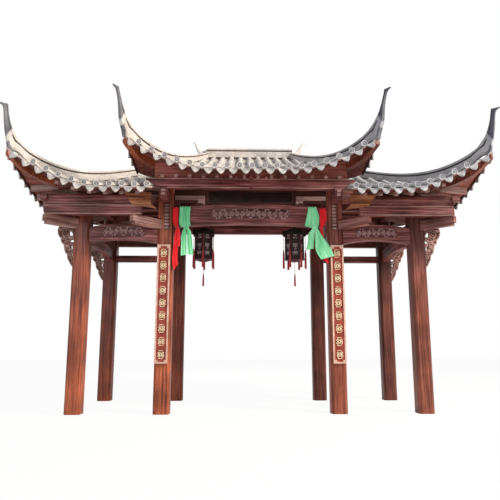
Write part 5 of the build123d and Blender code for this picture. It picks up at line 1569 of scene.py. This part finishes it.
motif_levels = np.linspace(BOARD_FOOT + FIRST_MOTIF, BOARD_HEAD - FIRST_MOTIF, 9)
motifs = [grid for z in motif_levels for x in (-BOARD_X, BOARD_X) for grid in motif(x, z)]
surface("gilded_motifs", motifs, gold_paint, "couplet_gold", ["couplet_ornaments"], **CLOSED, sharp=50)

# %% [markdown]
# ## Lanterns
# Two six-sided lanterns hang in the passage: a dark canopy with upturned corners, a frame of slim
# stiles and rails, pierced panels, and a red tassel under every corner.

# %% Lantern parts
def six(radius, z, turned, lift=0.0):
    """Ring of a six-sided section: 24 points, each side straight, its corners raised by the lift."""
    corner = turned + np.arange(7) * np.pi / 3
    ends = np.stack([radius * np.cos(corner), radius * np.sin(corner)], -1)
    share = np.array([0, 0.25, 0.5, 0.75])
    flat = (ends[:-1, None] + (ends[1:] - ends[:-1])[:, None] * share[None, :, None]).reshape(-1, 2)
    rise = np.tile((2 * np.abs(share - 0.5)) ** 2, 6) * lift
    return np.concatenate([flat, (z + rise)[:, None]], 1)


def lathe_six(levels, turned):
    """Closed six-sided form through (radius, height, corner lift) levels."""
    return np.stack([six(radius, z, turned, lift) for radius, z, lift in levels])


def round_form(levels, flutes=0, depth=0.0, count=24):
    """Turned form through (radius, height) levels: the radius times 1 + depth * share * cos(flutes *
    angle), where the share grows from 0 at the first level to 1 at the last."""
    angle = np.linspace(0, 2 * np.pi, count + 1)[:-1]
    levels = np.asarray(levels, float)
    share = np.linspace(0, 1, len(levels))[:, None]
    radius = levels[:, :1] * (1 + depth * share * np.cos(flutes * angle)[None, :])
    height = np.broadcast_to(levels[:, 1:], radius.shape)
    return np.stack([radius * np.cos(angle), radius * np.sin(angle), height], -1)


print("points in a ring", len(six(1, 0, 0)))

# %% [markdown]
# ## Frame and canopy
# The canopy, the rails and the base have six sides, and so they are rings through a few levels. The
# rod, the base and the canopy hang on the axis, and the stiles stand at the six corners.

# %% Canopy and frame
STILE_REACH = 190


def lantern_frame_parts(turned, corner):
    """Canopy, four rails, base and rod, then a turned stile on each corner."""
    levels = [(20, 3664, 0), (60, 3662, 0), (96, 3640, 0), (150, 3622, 8), (152, 3604, 8), (212, 3590, 22),
              (246, 3584, 40), (254, 3560, 30), (256, 3492, 8), (248, 3488, 8), (240, 3556, 20),
              (190, 3562, 0), (20, 3562, 0)]
    parts = [lathe_six(levels, turned)]
    for low, high, outer, inner in ((3540, 3562, 200, 176), (3372, 3388, 198, 180), (3000, 3022, 200, 176),
                                    (2972, 3000, 214, 150)):
        parts.append(lathe_six([(inner, high, 0), (outer, high, 0), (outer, low, 0), (inner, low, 0),
                                (inner, high, 0)], turned))
    parts.append(lathe_six([(150, 2974, 0), (120, 2950, 0), (60, 2934, 0), (8, 2930, 0)], turned))
    parts.append(lathe_six([(8, 3798, 0), (9, 3797, 0), (9, 3660, 0)], turned))
    stile = [(1, 3562), (15, 3561), (15, 3300), (11, 3290), (15, 3280), (15, 3010), (1, 3009)]
    for angle in corner:
        post = round_form(stile, count=8)
        parts.append(post + (STILE_REACH * np.cos(angle), STILE_REACH * np.sin(angle), 0))
    return parts


print("stiles stand", STILE_REACH, "from the axis")

# %% [markdown]
# ## Pierced panels and tassels
# Each side has an upper and a lower panel of scrolls. They are drawn flat, as bars in a plane, and
# then the plane is turned to the side that it belongs to. A tassel is turned like a post, with
# flutes that deepen towards its foot.

# %% Fretwork and tassels
TASSEL_REACH, FRET_REACH = 232, 158


def fretwork(corner):
    """Bars of the pierced panels: four scrolls and a ring in each panel."""
    found = []
    for angle in corner + np.pi / 6:
        out = np.array([np.cos(angle), np.sin(angle)])
        side = np.array([-out[1], out[0]])
        strokes = []
        for low, high in ((3020, 3368), (3392, 3540)):
            middle, half = (low + high) / 2, (high - low) / 2
            reach = min(46, half * 0.42)
            for up in (-1, 1):
                for across in (-1, 1):
                    strokes.append(scroll(across * 24, middle + up * half * 0.42, reach * 0.62,
                                          across * up * 1.5, 1.57 - across * 1.2, min(half / 75, 1.7), 22))
            strokes.append(scroll(0, middle, reach * 0.5, 1.0, 0.0, 1.3, 20))
        for stroke in strokes:
            grid = flat_bar(stroke, np.full(len(stroke), 5.5), np.full(len(stroke), 6.0))
            plan = grid[..., :1] * side + (FRET_REACH - grid[..., 1:2] * 0.8) * out
            found.append(np.concatenate([plan, grid[..., 2:]], -1))
    return found


def tassel(x, y, top, foot, swell):
    """Cord, knot and fluted skirt of one tassel."""
    skirt = top - (top - foot) * 0.55
    levels = [(1.0, top), (3.5, top - 1), (3.5, skirt + 34), (11, skirt + 30), (14, skirt + 18),
              (8, skirt + 4), (swell * 0.62, skirt - 10), (swell * 0.8, skirt - 40), (swell, foot + 16),
              (swell * 0.9, foot), (1, foot + 3)]
    return round_form(levels, 9, 0.16) + (x, y, 0)


def tassels(corner):
    """One tassel at each corner of the canopy and a longer one under the base."""
    hung = [tassel(TASSEL_REACH * np.cos(a), TASSEL_REACH * np.sin(a), 3600, 2796, 22) for a in corner]
    return hung + [tassel(0, 0, 2936, 2424, 19)]


six_corners = np.arange(6) * np.pi / 3
print("bars of fretwork", len(fretwork(six_corners)))

# %% [markdown]
# ## Silk, fretwork and paper
# The tassels are silk: fine upright streaks and a soft sheen. The wood of the lanterns is the
# weathered recipe again, dark on the frame and rubbed pale on the fretwork, with dark paper behind.

# %% Finishes of the lanterns and their pieces
tassel_silk = Finish("tassel", 0.55, specular=0.35)
strand = tassel_silk.noise(tassel_silk.stretched((160.0, 160.0, 6.0)), 1.0, 3, 0.6).outputs["Fac"]
silk_reds = (0.2, 0.006, 0.012), (0.46, 0.02, 0.035), (0.6, 0.06, 0.07)
tassel_silk.colour(tassel_silk.ramp(strand, list(zip((0.3, 0.55, 0.75), silk_reds))))
tassel_silk.bump(strand, 0.6, 0.004)
tassel_silk.shader.inputs["Sheen Weight"].default_value = 0.4
frame_brown = (0.02, 0.006, 0.007), (0.055, 0.018, 0.02), (0.1, 0.04, 0.045)
fret_brown = (0.3, 0.24, 0.25), (0.5, 0.42, 0.43), (0.68, 0.6, 0.6)
dark_paper = (0.025, 0.014, 0.016), (0.05, 0.03, 0.034), (0.08, 0.05, 0.055)
lantern_frame = weathered("lantern_frame", frame_brown, 9, 0.4)
fret_wood = weathered("lantern_fret", fret_brown, 14, 0.55)
paper = weathered("lantern_shade", dark_paper, 5, 0.7)
LANTERN_X = 962
for side, x, turned in (("left", -LANTERN_X, np.pi / 6), ("right", LANTERN_X, 0.0)):
    corner = turned + six_corners
    frame_parts = lantern_frame_parts(turned, corner)
    panel = lathe_six([(172, 3545, 0), (176, 3544, 0), (176, 3012, 0), (172, 3012, 0)], turned)
    for part, grids, finish, slot, node, sharp in (
            ("lantern_canopy", frame_parts[:1], lantern_wood, "lantern_wood", "lantern_frame", 30),
            ("lantern_body", frame_parts[1:], lantern_frame, "lantern_wood", "lantern_frame", 30),
            ("lantern_panels", [panel], paper, "lantern_shade", "lantern_shade", 30),
            ("lantern_fret", fretwork(corner), fret_wood, "lantern_wood", "lantern_shade", 50),
            ("tassels", tassels(corner), tassel_silk.material, "tassel", "lantern_tassels", 40)):
        hung = [grid + (x, 0, 0) for grid in grids]
        surface(f"{side}_{part}", hung, finish, slot, [f"{side}_{node}"], **CLOSED, sharp=sharp)

# %% [markdown]
# ## Cloths tied round the beam
# Two green and two red cloths are laid over the middle beam and knotted in front of it, and their
# ends hang free. Cloth simulation would need the knots to be tied in motion, so the cloth is drawn
# instead: each strip from its two side edges, with folds between them that deepen where the cloth
# is drawn together.

# %% Cloth strips
def strip(left_edge, right_edge, depths, folds, turn, rows=84, columns=45):
    """Cloth between two edges: waves across it, sliding a little along it, stand off along its face.
    Wave = sin(2 pi folds * share + slide) + 0.42 sin(a second, finer count - 1.7 slide)."""
    one, other = smooth_path(left_edge, rows), smooth_path(right_edge, rows)
    share, along = np.linspace(0, 1, columns), np.linspace(0, 1, rows)[:, None]
    flat = one[:, None] + (other - one)[:, None] * share[None, :, None]
    out = np.cross(np.gradient((one + other) / 2, axis=0), other - one)
    out = out / np.linalg.norm(out, axis=1, keepdims=True)
    slide = turn + 0.9 * np.sin(2.1 * along + turn)
    finer = 1.8 * folds + 0.7
    fine = np.sin(2 * np.pi * finer * share - 1.7 * slide)
    wave = np.sin(2 * np.pi * folds * share + slide) + 0.42 * fine
    deep = np.interp(along, np.linspace(0, 1, len(depths)), depths)
    return flat + out[:, None] * (wave * deep)[..., None]


def band(left_x, right_x, top, left_front, right_front):
    """Edges of the part over the beam: up its back, over its top and down its front to the knot."""
    def over(x):
        """Places round the beam: 165 below its top at the back, and 40 below it at the front."""
        return [(x, -1052, top - 165), (x, -1054, top - 40), (x, -1064, top + 6), (x, -1100, top + 16),
                (x, -1230, top + 17), (x, -1268, top + 4), (x, -1276, top - 40)]
    return over(left_x) + left_front, over(right_x) + right_front


def knot(x, z, wide, high, y=-1292):
    """A strip wrapped across the knot: an oval that bulges forward, with uneven edges."""
    turn = np.radians(np.linspace(-100, 100, 9))
    plan = np.stack([x + wide * np.sin(turn), y + 20 - 22 * np.cos(turn)], -1)
    low = [(a, b, z - high - 3 * k % 5) for k, (a, b) in enumerate(plan)]
    tall = [(a, b, z + high + 2 * k % 7) for k, (a, b) in enumerate(plan)]
    return strip(low, tall, [2.5, 4, 2.5], 1.6, 0.4, 30, 17)


def cloth_finish(name, colours):
    """Thin woven cloth: fine crossing threads in the bump, and soft streaks and patches in the colour,
    painted light and shade of small folds.
    """
    finish = Finish(name, 0.62, specular=0.25)
    # painted light and shade of small folds, as upright streaks
    painted_fold_shading = finish.noise(finish.stretched((9.0, 9.0, 2.0)), 1.0, 4, 0.55).outputs["Fac"]
    finish.colour(finish.ramp(painted_fold_shading, three_stops(colours)))
    threads = []
    for direction in ("X", "Z"):
        thread = finish.add("ShaderNodeTexWave", Vector=finish.coords, Scale=130.0, Distortion=1.0)
        thread.bands_direction = direction
        threads.append(thread.outputs["Fac"])
    weave = finish.add("ShaderNodeMath", operation="MAXIMUM")
    for index, thread in enumerate(threads):
        finish.tree.links.new(thread, weave.inputs[index])
    finish.bump(weave.outputs[0], 0.35, 0.0012)
    finish.shader.inputs["Sheen Weight"].default_value = 0.25
    return finish.material


green_cloth = cloth_finish("green_cloth", ((0.12, 0.56, 0.25), (0.24, 0.74, 0.38), (0.42, 0.88, 0.54)))
red_cloth = cloth_finish("red_cloth", ((0.56, 0.003, 0.006), (0.74, 0.005, 0.012), (0.88, 0.02, 0.03)))
print("cloths", green_cloth.name, red_cloth.name)

# %% [markdown]
# ## The green cloths
# Each list gives the two edges of one strip, from the beam down, then how deep its folds are along
# it, how many there are and where they start. A green cloth is the part over the beam, two ends
# that hang from the knot, and the knot.

# %% Green cloths
left_green = [
    strip(*band(-1340, -1141, 3793,
                [(-1343, -1278, 3600), (-1340, -1280, 3470), (-1318, -1284, 3416), (-1252, -1290, 3384)],
                [(-1148, -1278, 3600), (-1143, -1280, 3480), (-1130, -1284, 3440), (-1176, -1290, 3388)]),
          [3, 5, 6, 8, 11, 12], 4, 0.3, 110, 57),
    strip([(-1240, -1290, 3392), (-1266, -1293, 3352), (-1293, -1290, 3240), (-1301, -1288, 3000),
           (-1303, -1288, 2852)],
          [(-1212, -1290, 3392), (-1216, -1294, 3352), (-1201, -1292, 3240), (-1197, -1288, 3000),
           (-1199, -1288, 2872)],
          [5, 11, 12, 10], 1.9, 0.9),
    strip([(-1214, -1296, 3392), (-1206, -1299, 3350), (-1190, -1298, 3290), (-1183, -1294, 3004),
           (-1178, -1294, 2880)],
          [(-1180, -1296, 3392), (-1150, -1298, 3356), (-1118, -1296, 3290), (-1091, -1292, 3060),
           (-1066, -1292, 2864)],
          [5, 11, 12, 10], 1.7, 2.4),
    knot(-1212, 3388, 42, 27),
]
right_green = [
    strip(*band(1096, 1262, 3800,
                [(1062, -1278, 3600), (1036, -1280, 3480), (1034, -1284, 3424), (1152, -1296, 3396)],
                [(1306, -1278, 3620), (1302, -1280, 3530), (1290, -1284, 3460), (1272, -1296, 3396)]),
          [3, 5, 7, 9, 12, 12], 3.6, 1.5, 110, 57),
    strip([(1170, -1298, 3400), (1136, -1302, 3340), (1084, -1300, 3262), (1070, -1298, 3120),
           (1036, -1298, 2966)],
          [(1208, -1298, 3400), (1206, -1304, 3340), (1200, -1302, 3220), (1186, -1298, 3090),
           (1180, -1298, 2996)],
          [5, 12, 13, 10], 1.6, 0.2),
    strip([(1206, -1302, 3400), (1208, -1308, 3320), (1210, -1310, 3150), (1218, -1316, 2960),
           (1310, -1326, 2786)],
          [(1262, -1302, 3400), (1318, -1306, 3290), (1402, -1314, 3165), (1490, -1332, 3020),
           (1560, -1340, 2850)],
          [5, 12, 13, 8], 2.2, 3.6),
    knot(1222, 3396, 48, 30, -1300),
]
print("strips", len(left_green), len(right_green))

# %% [markdown]
# ## The red cloths
# The red cloths are narrower and hang outside the green ones, close to the long boards. Their ends
# reach lower, and their folds are finer.

# %% Red cloths
left_red = [
    strip(*band(-1468, -1368, 3775,
                [(-1469, -1277, 3600), (-1466, -1278, 3500), (-1442, -1280, 3430), (-1404, -1284, 3368)],
                [(-1367, -1277, 3600), (-1366, -1278, 3500), (-1362, -1280, 3430), (-1356, -1284, 3368)]),
          [2, 4, 5, 6, 8, 8], 2.2, 0.8, 110, 33),
    strip([(-1404, -1282, 3372), (-1424, -1281, 3240), (-1448, -1279, 3000), (-1458, -1279, 2760),
           (-1430, -1279, 2576)],
          [(-1368, -1282, 3372), (-1364, -1281, 3240), (-1357, -1279, 3000), (-1364, -1279, 2800),
           (-1346, -1279, 2700)],
          [3, 5, 7, 6], 1.7, 2.0, 90, 33),
    strip([(-1402, -1290, 3376), (-1420, -1292, 3290), (-1436, -1290, 3150), (-1438, -1290, 3018)],
          [(-1358, -1290, 3376), (-1330, -1291, 3320), (-1322, -1290, 3150), (-1324, -1290, 3024)],
          [3, 8, 9, 7], 1.6, 0.5, 60, 33),
    knot(-1380, 3372, 28, 18, -1286),
]
right_red = [
    strip(*band(1312, 1436, 3773,
                [(1312, -1277, 3620), (1308, -1278, 3500), (1314, -1280, 3420), (1320, -1282, 3356)],
                [(1446, -1277, 3640), (1434, -1278, 3540), (1384, -1280, 3430), (1352, -1282, 3356)]),
          [2, 4, 5, 7, 8, 7], 2.2, 2.6, 110, 33),
    strip([(1320, -1282, 3362), (1326, -1281, 3220), (1334, -1279, 3000), (1340, -1279, 2824)],
          [(1350, -1282, 3362), (1396, -1281, 3160), (1440, -1279, 2960), (1464, -1279, 2694)],
          [3, 6, 8, 7], 1.8, 1.1, 80, 33),
    knot(1336, 3356, 24, 16, -1284),
]
print("strips", len(left_red), len(right_red))

# %% [markdown]
# ## Four sheets
# The width and length that each cloth was cut to are listed with it, the flat sizes of narrow
# scarves. Its surface is thin, so a modifier gives it its thickness.

# %% Make the cloths
CLOTH_THICK = 0.003
for name, finish, strips, flat in (("left_green", green_cloth, left_green, (0.27, 1.3)),
                                   ("right_green", green_cloth, right_green, (0.32, 1.4)),
                                   ("left_red", red_cloth, left_red, (0.17, 1.45)),
                                   ("right_red", red_cloth, right_red, (0.17, 1.35))):
    slot = name.split("_")[1] + "_cloth"
    cloth = surface(f"{name}_scarf", strips, finish, slot, [f"{name}_cloth"], sharp=75)
    thick = cloth.modifiers.new("thickness", "SOLIDIFY")
    thick.thickness = CLOTH_THICK
    thick.offset = 0
print("cloths tied round the beam")

# %% [markdown]
# The dressed model has to stay within the solids' box.
